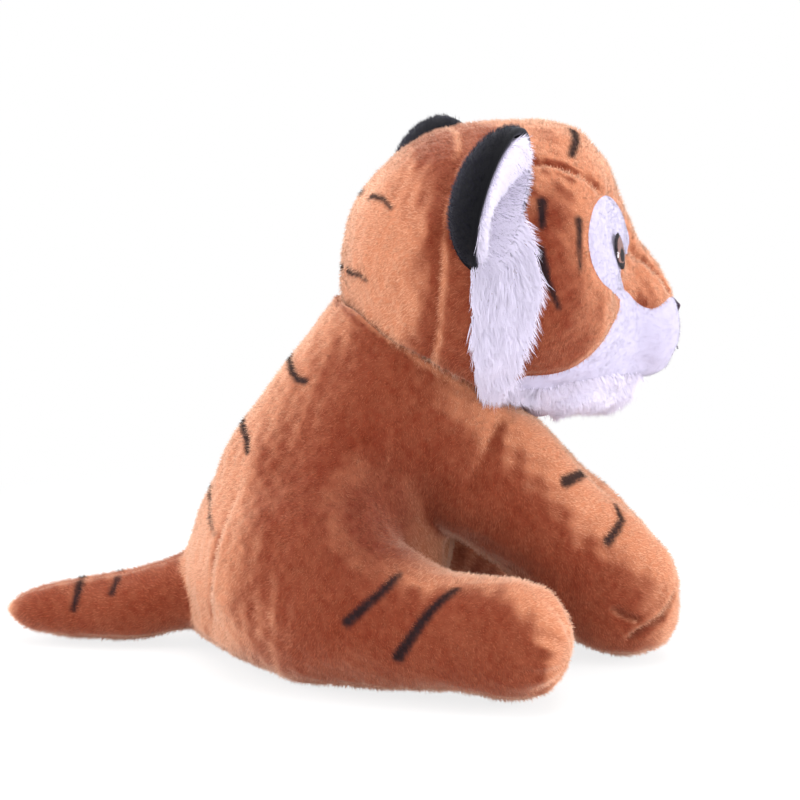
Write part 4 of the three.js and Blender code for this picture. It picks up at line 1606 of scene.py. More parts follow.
            points, faces = form.hull(-depth)
            points[:, 2] = np.maximum(points[:, 2], 4 * MM)
            past, slope = probed(limits, points, 0.2 * MM)
            points = (points - np.maximum(past, 0)[:, None] * slope) * [way, 1, 1]
            hull = (points, faces if way > 0 else faces[:, [1, 0, 3, 2]])
            loose = settled(remeshed([hull], self.filling_cell), inside)
            lumpy = (Swell(0.35 * MM, 6 * MM, 40 + seed),)
            filling = stuffed(f"{name}_filling", f"{name}_stuffing", loose, FIBRE, lumpy)
            self.hold(filling, name)
        self.build_bag(self.bag_high + self.skin, depth)

    def filling_limits(self, name: str) -> Callable[[Array], Array]:
        """How far points lie past a filling's end: the neck and the pellet bag, or the limb's own root."""
        if name == "torso":
            return lambda points: np.maximum(self.past_neck(points) + 4 * MM, 20.5 * MM - points[:, 2])
        if name == "tail":
            return lambda points: 44 * MM - points[:, 1]
        fore_share, hind_share = self.filling_roots
        if "foreleg" in name:
            form = self.forelegs[Side.RIGHT]
            return lambda points: (fore_share - form.share_of(points)) * form.length
        return lambda points: (hind_share - self.hindleg.share_of(points)) * self.hindleg.length

    def build_bag(self, top: float, depth: float) -> None:
        """Makes the weighted bag in the seat: the torso's form below a height, with a grainy surface.

        Args:
            top: The height of the bag's top.
            depth: How far it lies inside the torso's form.
        """

        def bag(points: Array) -> Array:
            """The torso's form drawn in, below the bag's top and above the seat."""
            low = trimmed(self.torso.distance(points) + depth, points[:, 2] - top, self.bag_edge)
            return trimmed(low, self.filling_floor - points[:, 2], self.bag_round)

        points, faces = self.torso.hull(-depth)
        points[:, 2] = np.clip(points[:, 2], 4 * MM, top)
        sack = settled(remeshed([(points, faces)], self.bag_cell), bag)
        piece = stuffed("pellet_bag", "seat_pellet_bag", sack, CALICO, self.bag_swells)
        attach(piece, "torso")


# The head


@dataclass
class Head:
    """The head's sewn panels, filling and long pile, built facing -Y and then turned on the neck."""

    body: Body
    back: float = -16 * MM
    middle: float = 140 * MM
    length: float = 124 * MM
    high: float = 105 * MM
    wide: float = 104 * MM
    turn_middle: float = -51 * MM
    turn: float = 12.0
    inset: float = 0.6 * MM
    skin: float = 1.2 * MM
    cell: float = 1.25 * MM
    crown_half: float = 36 * MM
    bridge_half: float = 11 * MM
    crown_low: float = 129 * MM
    pile: Pile = field(default_factory=Pile)
    back_groove: Groove = Groove(0.9 * MM, 1.7 * MM)
    crown_groove: Groove = Groove(1.4 * MM, 1.1 * MM)
    bridge_groove: Groove = Groove(0.6 * MM, 1.1 * MM)
    muzzle_groove: Groove = Groove(0.7 * MM, 1.5 * MM)
    patch_groove: Groove = Groove(0.7 * MM, 1.4 * MM)
    face_groove: Groove = Groove(0.6 * MM, 1.4 * MM)
    chin_groove: Groove = Groove(1.4 * MM, 2.4 * MM)
    pucker: Groove = Groove(0.28 * MM, 5 * MM)
    panel_bulge: Groove = Groove(0.7 * MM, 9 * MM)
    seam_fade: float = 2 * MM
    beard_bulge: float = 1.8 * MM
    swells: tuple[Swell, ...] = (Swell(0.4 * MM, 20 * MM, 31), Swell(0.14 * MM, 6 * MM, 32))
    filling_gap: float = 1.8 * MM
    filling_cell: float = 2.6 * MM
    filling_round: float = 4 * MM
    hem_pile: float = 3 * MM
    white_pile: Pile = Pile(density=3.0, width=0.2 * MM, length=0.85 * MM, lean=58.0, pull=0.1, relief=0.1)
    ruff_pile: Pile = Pile(
        density=10.0, length=4.8 * MM, width=0.34 * MM, lean=60.0, scatter=0.17, clump=2.2 * MM, pull=0.25,
        segments=2, droop=0.2, uneven=0.45, relief=0.1,
    )
    beard_pile: Pile = Pile(
        density=7.0, length=3.2 * MM, width=0.295 * MM, lean=44.0, scatter=0.24, clump=2.4 * MM, pull=0.2,
        segments=2, droop=0.15, uneven=0.4, relief=0.1,
    )
    rows: Rows = (
        (0, 0, 0, 0), (0.015, 0.005, 0.3, 0.3), (0.05, 0, 0.5, 0.53), (0.12, 0, 0.72, 0.77),
        (0.22, 0.004, 0.885, 0.93), (0.34, 0.005, 0.985, 1), (0.46, 0.006, 1, 1), (0.57, 0.006, 1, 0.97),
        (0.66, -0.003, 0.965, 0.88), (0.73, -0.03, 0.9, 0.69), (0.785, -0.085, 0.79, 0.52),
        (0.83, -0.13, 0.65, 0.43), (0.875, -0.158, 0.515, 0.4), (0.925, -0.192, 0.425, 0.36),
        (0.965, -0.205, 0.33, 0.3), (0.99, -0.205, 0.2, 0.19), (1, -0.205, 0, 0),
    )
    back_seam: Rows = (
        (0.175, -0.65), (0.187, -0.05), (0.195, 0.19), (0.245, 0.345), (0.315, 0.45), (0.34, 0.6),
        (-0.4, 0.6), (-0.4, -0.65),
    )
    muzzle_seam: Rows = (
        (1.1, -0.09), (0.953, -0.101), (0.919, -0.122), (0.885, -0.135), (0.852, -0.126), (0.818, -0.1),
        (0.77, -0.045), (0.715, -0.047), (0.745, -0.08), (0.75, -0.11), (0.706, -0.178), (0.654, -0.242),
        (0.6, -0.29), (0.53, -0.318), (0.42, -0.318), (0.4, -0.48), (0.4, -0.7), (1.1, -0.7),
    )
    patch_seam: Rows = (
        (0.684, 0.275), (0.735, 0.258), (0.778, 0.21), (0.808, 0.15), (0.818, 0.1), (0.8, 0.068),
        (0.765, 0.045), (0.745, 0.02), (0.75, -0.01), (0.775, -0.05), (0.765, -0.08), (0.735, -0.07),
        (0.695, -0.035), (0.655, -0.005), (0.623, 0.05), (0.611, 0.11), (0.613, 0.17), (0.638, 0.24),
    )
    face_seam: Rows = ((0.72, 0.5), (0.712, 0.1), (0.76, -0.16), (1.1, -0.16), (1.1, 0.5))
    ruff_outline: Rows = (
        (0.258, 0.1), (0.3, 0.2), (0.36, 0.27), (0.425, 0.24), (0.475, 0.03), (0.445, -0.15), (0.42, -0.3),
        (0.41, -0.42), (0.37, -0.46), (0.29, -0.32), (0.26, -0.1),
    )
    beard_outline: Rows = (
        (0.4, -0.345), (0.484, -0.37), (0.56, -0.365), (0.64, -0.345), (0.74, -0.35), (0.84, -0.365),
        (0.885, -0.385), (0.885, -0.6), (0.4, -0.6),
    )
    chin_fold: Rows = ((0.5, -0.4), (0.68, -0.375), (0.84, -0.4))
    crown_outline: Rows = (
        (0.1, 1), (0.38, 1), (0.46, 0.92), (0.516, 0.88), (0.576, 0.95), (0.64, 0.96), (0.675, 0.93),
        (0.71, 0.84), (0.74, 0.68), (0.77, 0.5), (0.8, 0.34), (0.83, 0.25), (0.866, 0.14), (0.905, 0.05),
        (0.94, 0), (1.1, 0),
    )
    stripes: tuple[Stripe, ...] = (
        Stripe(((-0.2, -96.8, 187.3), (-9, -96.3, 184.6), (-18.3, -95.2, 181.2)), 4.2, 3.0),
        Stripe(((-37.8, -84.2, 167.5), (-41.6, -84, 159.7)), 3.8, 2.6),
        Stripe(((-48.2, -83.2, 152.4), (-48.6, -86.2, 142.3), (-43.4, -90, 132)), 5.0, 1.4),
        Stripe(((-36.4, -96.3, 160.9), (-39.6, -96.8, 153.1), (-40.6, -97.2, 145)), 3.0, 1.2),
        Stripe(((-12.3, -26, 167.4), (-21.9, -30.4, 167.3), (-27.8, -32.9, 164.6)), 2.4, 1.6),
        Stripe(((-11, -18.4, 141.1), (-22.4, -22, 141.1), (-26.4, -24.5, 139.5)), 2.8, 1.6),
    )

    def __post_init__(self) -> None:
        """Works out the form, the turn and the outlines in metres."""
        self.form = StuffedForm(
            self.rows, (0, self.back, self.middle), (0, -self.length, 0), self.high, self.wide, self.high
        )
        angle = math.radians(self.turn)
        self.spin = np.array(
            [[math.cos(angle), -math.sin(angle), 0], [math.sin(angle), math.cos(angle), 0], [0, 0, 1]]
        )
        self.pivot = np.array([0, self.turn_middle, 0])
        side = (self.length, self.high)
        outlines = (self.back_seam, self.muzzle_seam, self.patch_seam, self.face_seam)
        edges = [softened(outline, side) for outline in outlines]
        self.back_edge, self.muzzle_edge, self.patch_edge, self.face_edge = edges
        self.ruff_edge = softened(self.ruff_outline, side)
        self.beard_edge = softened(self.beard_outline, side)
        along, share = np.array(self.crown_outline).T
        half = self.bridge_half + share * (self.crown_half - self.bridge_half)
        edge = np.stack([along * self.length, half], axis=1)
        self.crown_edge = np.concatenate([edge, (edge * [1, -1])[::-1]])

    def turned(self, points: Array) -> Array:
        """Points of the straight head, turned on the neck as it sits."""
        return (points - self.pivot) @ self.spin.T + self.pivot

    def unturned(self, points: Array) -> Array:
        """Points of the turned head, as they lie on the straight head."""
        return (points - self.pivot) @ self.spin + self.pivot

    def below_neck(self, points: Array) -> Array:
        """How far points of the straight head would lie under the neck seam once turned."""
        return -self.body.past_neck(self.turned(points)) + 0.1 * MM

    def distance(self, points: Array) -> Array:
        """The head's form drawn in by the pile's depth and trimmed at the neck."""
        return trimmed(self.form.distance(points) + self.inset, self.below_neck(points), 0.8 * MM)

    def side_view(self, points: Array) -> Array:
        """Places along the head from its back, and above its middle."""
        return np.stack([self.back - points[:, 1], points[:, 2] - self.middle], axis=1)

    def top_view(self, points: Array) -> Array:
        """Places along the head from its back, and across it."""
        return np.stack([self.back - points[:, 1], points[:, 0]], axis=1)

    def seams(self, points: Array) -> dict[str, Array]:
        """How far points lie inside each region that a seam bounds."""
        side = self.side_view(points)
        crown = inside_outline(self.crown_edge, self.top_view(points))
        return {
            "back": inside_outline(self.back_edge, side),
            "muzzle": inside_outline(self.muzzle_edge, side),
            "patch": inside_outline(self.patch_edge, side),
            "crown": np.minimum(crown, points[:, 2] - self.crown_low),
            "face": inside_outline(self.face_edge, side),
        }

    def labels(self, surface: Surface) -> dict[str, Array]:
        """Which faces belong to each sewn panel, in the order in which the seams cut them."""
        at = surface.middles()
        inside = {word: distance > 0 for word, distance in self.seams(at).items()}
        right = at[:, 0] < 0
        left_over = np.ones(len(at), bool)
        found = {}
        names = {"back": "head_back", "muzzle": "muzzle", "patch": "", "crown": "head_crown"}
        for word, name in names.items():
            mine = left_over & inside[word]
            left_over &= ~mine
            if name:
                found[name] = mine
            else:
                found["right_eye_patch"], found["left_eye_patch"] = mine & right, mine & ~right
        near_nose = left_over & inside["face"]
        cheek = left_over & ~near_nose
        found["right_nose_side"], found["left_nose_side"] = near_nose & right, near_nose & ~right
        found["right_cheek"], found["left_cheek"] = cheek & right, cheek & ~right
        return found

    def drawn_to_seams(self, surface: Surface, labels: dict[str, Array]) -> None:
        """Moves the points between two panels along the skin onto the seam, so that seams run smoothly.

        Args:
            surface: The head's skin.
            labels: Which faces belong to each panel.
        """
        code = np.repeat(sum(k * mask for k, mask in enumerate(labels.values())), 4)
        low, high = np.full(len(surface.points), 99), np.zeros(len(surface.points), int)
        np.minimum.at(low, surface.faces.ravel(), code)
        np.maximum.at(high, surface.faces.ravel(), code)
        edge = np.flatnonzero(low != high)
        out = surface.directions[edge]
        for _ in range(3):
            points = surface.points[edge]
            values = np.stack(list(self.seams(points).values()))
            nearest = np.abs(values).argmin(axis=0), np.arange(len(edge))

            def seam(places: Array, nearest: tuple[Array, Array] = nearest) -> Array:
                """How far places lie inside the seam that each of them was nearest to."""
                return np.stack(list(self.seams(places).values()))[nearest]

            here, slope = probed(seam, points, 0.1 * MM)
            slope = flattened(slope, out)
            move = -(here / np.maximum(dot(slope, slope), 0.2))[:, None] * slope
            far = np.maximum(np.linalg.norm(move, axis=1), TINY)[:, None]
            surface.points[edge] = points + move * np.minimum(1, 0.4 * MM / far)

    def shaped(self, surface: Surface) -> Surface:
        """The bare form with the seams drawn in between full panels, a chin fold and gentle lumps."""
        points, normals = surface.points, surface.normals()
        inside, side = self.seams(points), self.side_view(points)
        along = side[:, 0]
        front = ramp(-inside["back"], 0, self.seam_fade)
        upper = front * ramp(-inside["muzzle"], 0, self.seam_fade)
        open_skin = upper * ramp(-inside["patch"], 0, self.seam_fade)
        bridge = ramp(along, 0.78 * self.length, 8 * MM)
        crown = self.crown_groove.at(inside["crown"]) + bridge * self.bridge_groove.at(inside["crown"])
        puckers = self.pucker.at(inside["crown"]) * lumps(points, self.pucker.reach, 33)
        groove = self.back_groove.at(inside["back"]) + (crown + puckers) * open_skin
        groove += self.muzzle_groove.at(inside["muzzle"]) * front
        groove += self.patch_groove.at(inside["patch"]) * front * ramp(-inside["muzzle"], 0, 1 * MM)
        groove += self.face_groove.at(inside["face"]) * open_skin * (inside["crown"] < 0)
        nearest = np.min([np.abs(inside[word]) for word in ("back", "muzzle", "patch", "crown")], axis=0)
        full = self.panel_bulge.depth - self.panel_bulge.at(nearest)
        chin = np.array(self.chin_fold) * [self.length, self.high]
        fold = self.chin_groove.at(side[:, 1] - np.interp(along, chin[:, 0], chin[:, 1]))
        fold *= ramp(along, 0.52 * self.length, 10 * MM)
        unevenly = 1 + 0.35 * lumps(points, 17 * MM, 34)
        beard = ramp(inside_outline(self.beard_edge, side), 0, 6 * MM) * unevenly
        swell = sum(swell.at(points) for swell in self.swells)
        lift = full + swell + self.beard_bulge * beard - groove - fold
        return Surface(points + normals * lift[:, None], surface.faces)

    def place(self, piece: bpy.types.Object) -> bpy.types.Object:
        """Turns a finished piece with the head and makes it ride on it."""
        mesh = piece.data
        co = np.empty(len(mesh.vertices) * 3, np.float32)
        mesh.vertices.foreach_get("co", co)
        mesh.vertices.foreach_set("co", self.turned(co.reshape(-1, 3)).astype(np.float32).ravel())
        mesh.update()
        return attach(piece, "head")

    def combed(self, points: Array) -> Array:
        """The way the head's pile is brushed: back from the nose and down the cheeks."""
        away = unit(points - np.array([0, self.back - self.length * 0.9, self.middle]))
        return unit(away + [0, 0.2, -0.55] + swirl(points, 0.3, 26 * MM, 14))

    def darkened(self, points: Array, normals: Array, white: bool) -> Array:
        """How dark the stripes are at points of the straight head. White cloth has none.

        Args:
            points: Points on the skin.
            normals: The way the skin faces there.
            white: Whether the cloth is white.

        Returns:
            A number from 0 to 1 for each point.
        """
        if white:
            return np.zeros(len(points))
        straight = [self.unturned(np.array(stripe.places) * MM) / MM for stripe in self.stripes]
        marks = tuple(
            replace(stripe, places=tuple(map(tuple, spots))) for stripe, spots in zip(self.stripes, straight)
        )
        return marked(points, normals, marks)

    def hull(self, grow: float, neck: float, rings: int, around: int) -> tuple[Array, Array]:
        """The form's closed surface, pressed flat above the neck seam.

        Args:
            grow: How far the surface is moved outwards.
            neck: How far past the neck seam it is pressed.
            rings: Rings along the head.
            around: Points on each ring.

        Returns:
            The points of the straight head and the faces.
        """
        points, faces = self.form.hull(grow, rings, around)
        turned = self.turned(points)
        turned = turned - np.minimum(self.body.past_neck(turned) - neck, 0)[:, None] * self.body.neck_way
        return self.unturned(turned), faces

    def build(self) -> None:
        """Makes the panels with their pile, the filling, the ruffs and the beard."""
        rough = remeshed([self.hull(-1 * MM, 1 * MM, 60, 56)], self.cell)
        whole = self.shaped(settled(rough, self.distance))
        whole.directions = whole.normals()
        labels = self.labels(whole)
        self.drawn_to_seams(whole, labels)
        self.whole = whole
        for seed, (name, mask) in enumerate(labels.items()):
            white = name == "muzzle" or "patch" in name
            finish, pile = (WHITE, self.white_pile) if white else (ORANGE, self.pile)
            node = name if "patch" in name else f"{name}_panel"
            panel = whole.part(mask)
            shell = panel.shell(self.skin)
            ink = np.tile(self.darkened(panel.points, panel.normals(), white), 2)
            # the painted sheen, paler where the skin faces up, forward or back
            pale = painted_sheen(shell.points, shell.normals())
            self.place(sewn(f"{name}_skin", node, shell, finish, ink, pale, 22))
            middles = panel.middles()
            shown = (self.below_neck(middles) < -0.1 * MM).astype(float)
            shown *= 1 - 0.9 * (inside_outline(self.ruff_edge, self.side_view(middles)) > self.seam_fade)
            roots, normals = strewn(panel, shown, pile.density, 50 + seed)
            hem = bell(self.below_neck(roots), self.hem_pile)
            comb = self.combed(roots) + hem[:, None] * [0, 0, -2.0]
            ink, stretch = self.darkened(roots, normals, white), 1 + 0.8 * hem
            self.place(grown(f"{name}_pile", roots, normals, comb, pile, finish, 150 + seed, ink, stretch))
            log.info("%s: %d faces of skin, %d strands", name, len(shell.faces), len(roots))
        self.build_filling()
        self.build_ruffs()
        self.build_beard()

    def build_filling(self) -> None:
        """Makes the fibre filling, a little inside the panels."""
        depth = self.inset + self.skin + self.filling_gap

        def inside(points: Array) -> Array:
            """The head's form drawn in under its skin."""
            neck = self.below_neck(points) + 3 * MM
            return trimmed(self.form.distance(points) + depth, neck, self.filling_round)

        loose = settled(remeshed([self.hull(-depth, 4 * MM, 44, 40)], self.filling_cell), inside)
        filling = stuffed("head_filling", "head_stuffing", loose, FIBRE, (Swell(0.35 * MM, 6 * MM, 71),))
        self.place(filling)

    def build_ruffs(self) -> None:
        """Makes the long pile behind each cheek: it falls from the ear and spreads over the cheek."""
        middles = self.whole.middles()
        inside, edge = inside_outline(self.ruff_edge, self.side_view(middles)), 0.8 * MM
        for side in Side:
            mine = (inside > edge) & (middles[:, 0] * side.value > self.wide / 5)
            share = mine * ramp(inside, edge, 1.5 * MM)
            roots, normals = strewn(self.whole, share, self.ruff_pile.density, 81)
            spread = (self.side_view(roots)[:, 0] / self.length - 0.37) / 0.1
            comb = np.tile([side.value * 0.1, -0.15, -1.0], (len(roots), 1))
            comb[:, 1] -= 0.5 * np.maximum(spread, 0)
            comb = comb + swirl(roots, 0.3, 12 * MM, 17)
            fur = grown(f"{side.word}_ruff_fur", roots, normals, comb, self.ruff_pile, LONG_WHITE, 82)
            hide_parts(f"{side.word}_ruff")
            self.place(fur)

    def build_beard(self) -> None:
        """Makes the long pile under the chin, which hangs and points a little forward."""
        middles = self.whole.middles()
        inside = inside_outline(self.beard_edge, self.side_view(middles))
        share = ramp(inside, -1 * MM, 2 * MM) * (self.below_neck(middles) < -1 * MM)
        roots, normals = strewn(self.whole, share, self.beard_pile.density, 91)
        comb = np.tile([0.0, -0.3, -1.0], (len(roots), 1)) + roots * [9.0, 0, 0]
        comb = comb + swirl(roots, 0.3, 14 * MM, 27)
        fur = grown("beard_fur", roots, normals, comb, self.beard_pile, LONG_WHITE, 92)
        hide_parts("chin_beard")
        self.place(fur)

    def onto_face(self, x: Array, z: Array) -> Array:
        """Places on the front of the straight head: halving the way between the nose's front and the middle.

        Args:
            x: Across.
            z: Up.

        Returns:
            Points on the skin.
        """
        near = np.full(len(x), self.back - self.length * 1.05)
        far = np.full(len(x), self.back - self.length * 0.5)
        for _ in range(22):
            halfway = (near + far) / 2
            outside = self.form.distance(np.stack([x, halfway, z], axis=1)) > 0
            near, far = np.where(outside, halfway, near), np.where(outside, far, halfway)
        return np.stack([x, near, z], axis=1)


# Ears


@dataclass
class Ear:
    """A two-layer ear: a black back and a white dished lining, leaned back and turned out."""

    head: Head
    side: Side
    middle: Triple = (48 * MM, -60 * MM, 167 * MM)
    tall: float = 49 * MM
    wide: float = 41 * MM
    deep: float = 16 * MM
    turn: float = 36.0
    lean: float = 15.0
    wall: float = 2.2 * MM
    dish: float = 2.5 * MM
    black_pile: Pile = Pile(density=2.0, length=1.7 * MM, width=0.3 * MM, lean=50.0, scatter=0.25)
    white_pile: Pile = Pile(
        density=5.0, length=2.6 * MM, width=0.34 * MM, lean=56.0, scatter=0.2, clump=2.2 * MM, pull=0.2,
        relief=0.1,
    )
    seats: tuple[float, float] = (0.7 * MM, 1.8 * MM)

    def revolved(self, profile: Array, around: int = 72) -> Surface:
        """A profile carried round the ear's oval: its first number scales the oval, its second is the depth.

        Args:
            profile: Pairs from the middle of one face, over the rim, to the middle of the other.
            around: Points round the oval.

        Returns:
            A closed surface in the ear's own frame.
        """
        angle = np.linspace(0, 2 * math.pi, around, endpoint=False)
        reach, depth = profile[1:-1, 0][:, None], profile[1:-1, 1][:, None]
        tip = 1 + 0.05 * np.sin(angle) - 0.04 * np.cos(2 * angle)
        ring = np.stack(
            [
                reach * tip * np.cos(angle) * self.wide / 2,
                depth + 0 * angle,
                reach * tip * np.sin(angle) * self.tall / 2,
            ],
            axis=-1,
        )
        points, faces = closed_rings(ring, np.array([0, profile[0, 1], 0]), np.array([0, profile[-1, 1], 0]))
        return Surface(points, faces)

    def placed(self, points: Array) -> Array:
        """Points leaned back about X, turned out about Z and moved to the ear's seat on the straight head."""
        lean, turn = math.radians(self.lean), math.radians(self.turn * self.side.value)
        dip, out = (math.cos(lean), math.sin(lean)), (math.cos(turn), math.sin(turn))
        about_x = np.array([[1, 0, 0], [0, dip[0], -dip[1]], [0, dip[1], dip[0]]])
        about_z = np.array([[out[0], -out[1], 0], [out[1], out[0], 0], [0, 0, 1]])
        return points @ (about_z @ about_x).T + np.array(self.middle) * [self.side.value, 1, 1]

    def seated(self, surface: Surface, clearance: float) -> Surface:
        """The placed layer, with what would lie in the head pressed onto its surface.

        Args:
            surface: The layer in the ear's own frame.
            clearance: How far over the head's form it is pressed.

        Returns:
            The layer on the straight head.
        """
        points = self.placed(surface.points)
        for _ in range(4):
            here, slope = probed(self.head.form.distance, points, 0.2 * MM)
            points = points - unit(slope) * np.minimum(here - clearance, 0)[:, None]
        return Surface(points, surface.faces)

    def build(self) -> None:
        """Makes both layers and their pile."""
        t = np.linspace(0, 1, 22)
        arc = t * math.pi / 2
        outer = np.stack([np.sin(arc), np.cos(arc) * self.deep], axis=1)
        rim = np.array([[0.985, -0.5 * MM], [0.955, -0.7 * MM], [0.93, -0.3 * MM]])
        inner = np.stack([0.915 * np.cos(arc), np.sin(arc) * (self.deep - self.wall)], axis=1)
        back = self.revolved(np.concatenate([outer, rim, inner]))
        bowl = np.stack([0.86 * np.cos(arc), np.sin(arc) * (self.deep - self.wall - 0.5 * MM)], axis=1)
        roll = np.array([[0.8, -1.0 * MM], [0.84, -1.3 * MM], [0.87, -1.0 * MM], [0.885, -0.2 * MM]])
        front = np.stack([0.76 * t, self.dish * np.cos(t * math.pi / 2) - 0.4 * MM], axis=1)
        lining = self.revolved(np.concatenate([front, roll, bowl])[::-1])
        back_seat, lining_seat = self.seats
        back_comb, lining_comb = (0.0, 0.2, 1.0), (0.0, -0.8, -1.0)
        self.build_layer("ear_back", back, BLACK, BLACK, self.black_pile, back_comb, back_seat)
        self.build_layer("ear_lining", lining, WHITE, EAR_WHITE, self.white_pile, lining_comb, lining_seat)

    def build_layer(
        self, name: str, layer: Surface, cloth: PlushFinish, fur: PlushFinish, pile: Pile, comb: Triple,
        seat: float,
    ) -> None:
        """Makes one layer and the pile on its open side, which is longer low in the lining.

        Args:
            name: The layer's name.
            layer: Its closed surface in the ear's own frame.
            cloth: The finish of its skin.
            fur: The finish of its pile.
            pile: The kind of strand.
            comb: The way the pile is brushed.
            seat: How far over the head's form the layer is pressed.
        """
        is_back, word = cloth is BLACK, self.side.word
        turned = self.seated(layer, seat)
        none = np.zeros(len(turned.points))
        self.head.place(sewn(f"{word}_{name}_skin", f"{word}_{name}", turned, cloth, none, none, 23))
        facing = layer.normals()[layer.faces, 1].mean(axis=1)
        shown = facing > 0.1 if is_back else facing < 0.1
        if is_back:
            shown &= self.head.form.distance(turned.middles()) > seat + 0.3 * MM
        roots, normals = strewn(turned, shown.astype(float), pile.density, 95)
        low = 0 * roots[:, 2] if is_back else ramp(self.middle[2] + 2 * MM - roots[:, 2], 0, 16 * MM)
        combs = np.tile(comb, (len(roots), 1))
        strands = grown(f"{word}_{name}_pile", roots, normals, combs, pile, fur, 96, stretch=1 + 0.8 * low)
        self.head.place(strands)
        log.info("%s %s: %d strands", word, name, len(roots))


# The stitched face


@dataclass
class Embroidery:
    """Eyes, nose and mouth, each a bundle of satin stitches that lie on the face."""

    head: Head
    eye_middle: tuple[float, float] = (36 * MM, 149 * MM)
    eye_size: tuple[float, float] = (7.6 * MM, 12.4 * MM)
    nose_size: tuple[float, float] = (12 * MM, 6.8 * MM)
    nose_high: float = 124 * MM
    thread: float = 0.26 * MM

    def stitches(
        self, name: str, starts: Array, ends: Array, shade: Callable[[Array, Array], Array],
        finish: ThreadFinish, crown: float, steps: int = 13,
    ) -> bpy.types.Object:
        """Threads from start to end, laid on the face with a low arch: sine of the way along times the crown.

        Args:
            name: The piece's name.
            starts: Each thread's start across and up.
            ends: Each thread's end across and up.
            shade: The thread's shade at places across and up.
            finish: Its finish.
            crown: How high the middle of a thread stands.
            steps: Points along a thread.

        Returns:
            The object, turned with the head.
        """
        share = np.linspace(0, 1, steps)
        flat = starts[:, None] + (ends - starts)[:, None] * share[:, None]
        count = len(starts)
        x, z = flat[..., 0].ravel(), flat[..., 1].ravel()
        on = self.head.onto_face(x, z).reshape(count, steps, 3)
        _, slope = probed(self.head.form.distance, on.reshape(-1, 3), 0.3 * MM)
        out = unit(slope).reshape(count, steps, 3)
        lift = 0.9 * MM + crown * np.sin(share * math.pi) ** 0.6
        line = on + out * lift[:, None]
        along = unit(np.gradient(line, axis=1))
        across = unit(np.cross(along, out))
        angle = np.linspace(0, 2 * math.pi, 6, endpoint=False)
        slim = self.thread * (0.35 + 0.65 * np.sin(share * math.pi) ** 0.3)
        ring = (
            line[:, :, None]
            + (slim[:, None] * np.cos(angle))[None, ..., None] * across[:, :, None]
            + (slim[:, None] * np.sin(angle))[None, ..., None] * out[:, :, None]
        )
        all_points, all_faces, shades = [], [], []
        tints = shade(flat[..., 0], flat[..., 1])
        for k in range(count):
            points, faces = closed_rings(ring[k], line[k, 0], line[k, -1])
            all_faces.append(faces + len(points) * k)
            all_points.append(points)
            shades.append(np.concatenate([np.repeat(tints[k], 6), tints[k, :1], tints[k, -1:]]))
        surface = Surface(np.concatenate(all_points), np.concatenate(all_faces))
        piece = make_piece(name, surface, WARDROBE.dress(finish), {"shade": np.concatenate(shades)})
        return self.head.place(piece)

    def build_eye(self, side: Side) -> None:
        """Makes one eye: rows of stitches across an oval, black round a brown iris, with a painted highlight in
        white thread.
        """
        half_wide, half_tall = self.eye_size[0] / 2, self.eye_size[1] / 2
        up = np.linspace(-0.97, 0.97, 31)
        half = np.sqrt(1 - up**2) * half_wide
        ragged = 0.25 * MM * np.sin(np.arange(31) * 2.4)
        middle = np.array(self.eye_middle) * [side.value, 1]
        lean = 0.12 * side.value * up * half_tall
        starts = np.stack([middle[0] + lean - half - ragged, middle[1] + up * half_tall], axis=1)
        ends = np.stack([middle[0] + lean + half + ragged, middle[1] + up * half_tall + 0.5 * MM], axis=1)

        def shade(x: Array, z: Array) -> Array:
            """Black at the edge and in the pupil, brown between them, white in the painted highlight."""
            a = (np.abs(x) - abs(middle[0])) / half_wide
            b = (z - middle[1]) / half_tall
            reach = np.hypot(a, b)
            pupil = np.hypot(a + 0.1, (b + 0.2) * 1.1) < 0.42
            brown = np.where((reach > 0.84) | pupil | (b < -0.62), 0.1, 0.5)
            # a painted highlight: a small white spot on the eye's outer side, a little below its middle
            painted_highlight = (np.hypot((a - 0.76) * 2.2, b + 0.1) < 0.2) & (reach < 1.05)
            return np.where(painted_highlight, 1.0, brown)

        piece = self.stitches(f"{side.word}_eye_stitches", starts, ends, shade, EYE_THREAD, 0.5 * MM)
        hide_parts(f"{side.word}_eye")

    def build_nose(self) -> None:
        """Makes the nose: upright stitches over a rounded triangle."""
        half_wide, half_tall = self.nose_size[0] / 2, self.nose_size[1] / 2
        across = np.linspace(-0.94, 0.94, 25)
        top = self.nose_high + half_tall * (0.75 + 0.2 * np.cos(across * 3))
        low = self.nose_high - half_tall * (1 - np.abs(across) ** 1.5 * 1.1)
        starts = np.stack([across * half_wide, low], axis=1)
        ends = np.stack([across * half_wide * 0.96, top], axis=1)
        piece = self.stitches(
            "nose_stitches", starts, ends, lambda x, z: 0.5 + 0.4 * np.sin(x * 9000), NOSE_THREAD, 0.6 * MM
        )
        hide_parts("nose")

    def build_mouth(self) -> None:
        """Makes the mouth: short overlapping stitches down from the nose and out to each side."""
        top = self.nose_high - self.nose_size[1] / 2 - 0.5 * MM
        fork = top - 7 * MM
        stem = np.stack([np.zeros(5), np.linspace(top, fork, 5)], axis=1)
        arc = np.linspace(0, 1, 7)
        curve = np.stack([arc * 9.5 * MM, fork - 3.2 * MM * np.sin(arc * math.pi * 0.62)], axis=1)
        lines = [stem, curve, curve * [-1, 1]]
        starts = np.concatenate([line[:-1] for line in lines for _ in range(2)])
        ends = np.concatenate([line[1:] for line in lines for _ in range(2)])
        shift = np.tile([[0.0, 0.18 * MM], [0.0, -0.18 * MM]], (len(starts) // 2 + 1, 1))[: len(starts)]
        starts, ends = starts + shift, ends + shift
        piece = self.stitches(
            "mouth_stitches", starts, ends, lambda x, z: 0.5 + 0.0 * x, MOUTH_THREAD, 0.25 * MM, 7
        )
        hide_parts("mouth_stitching")

    def build(self) -> None:
        """Makes the eyes, the nose and the mouth."""
        for side in Side:
            self.build_eye(side)
        self.build_nose()
        self.build_mouth()
        log.info("eyes, nose and mouth stitched")


# Studio


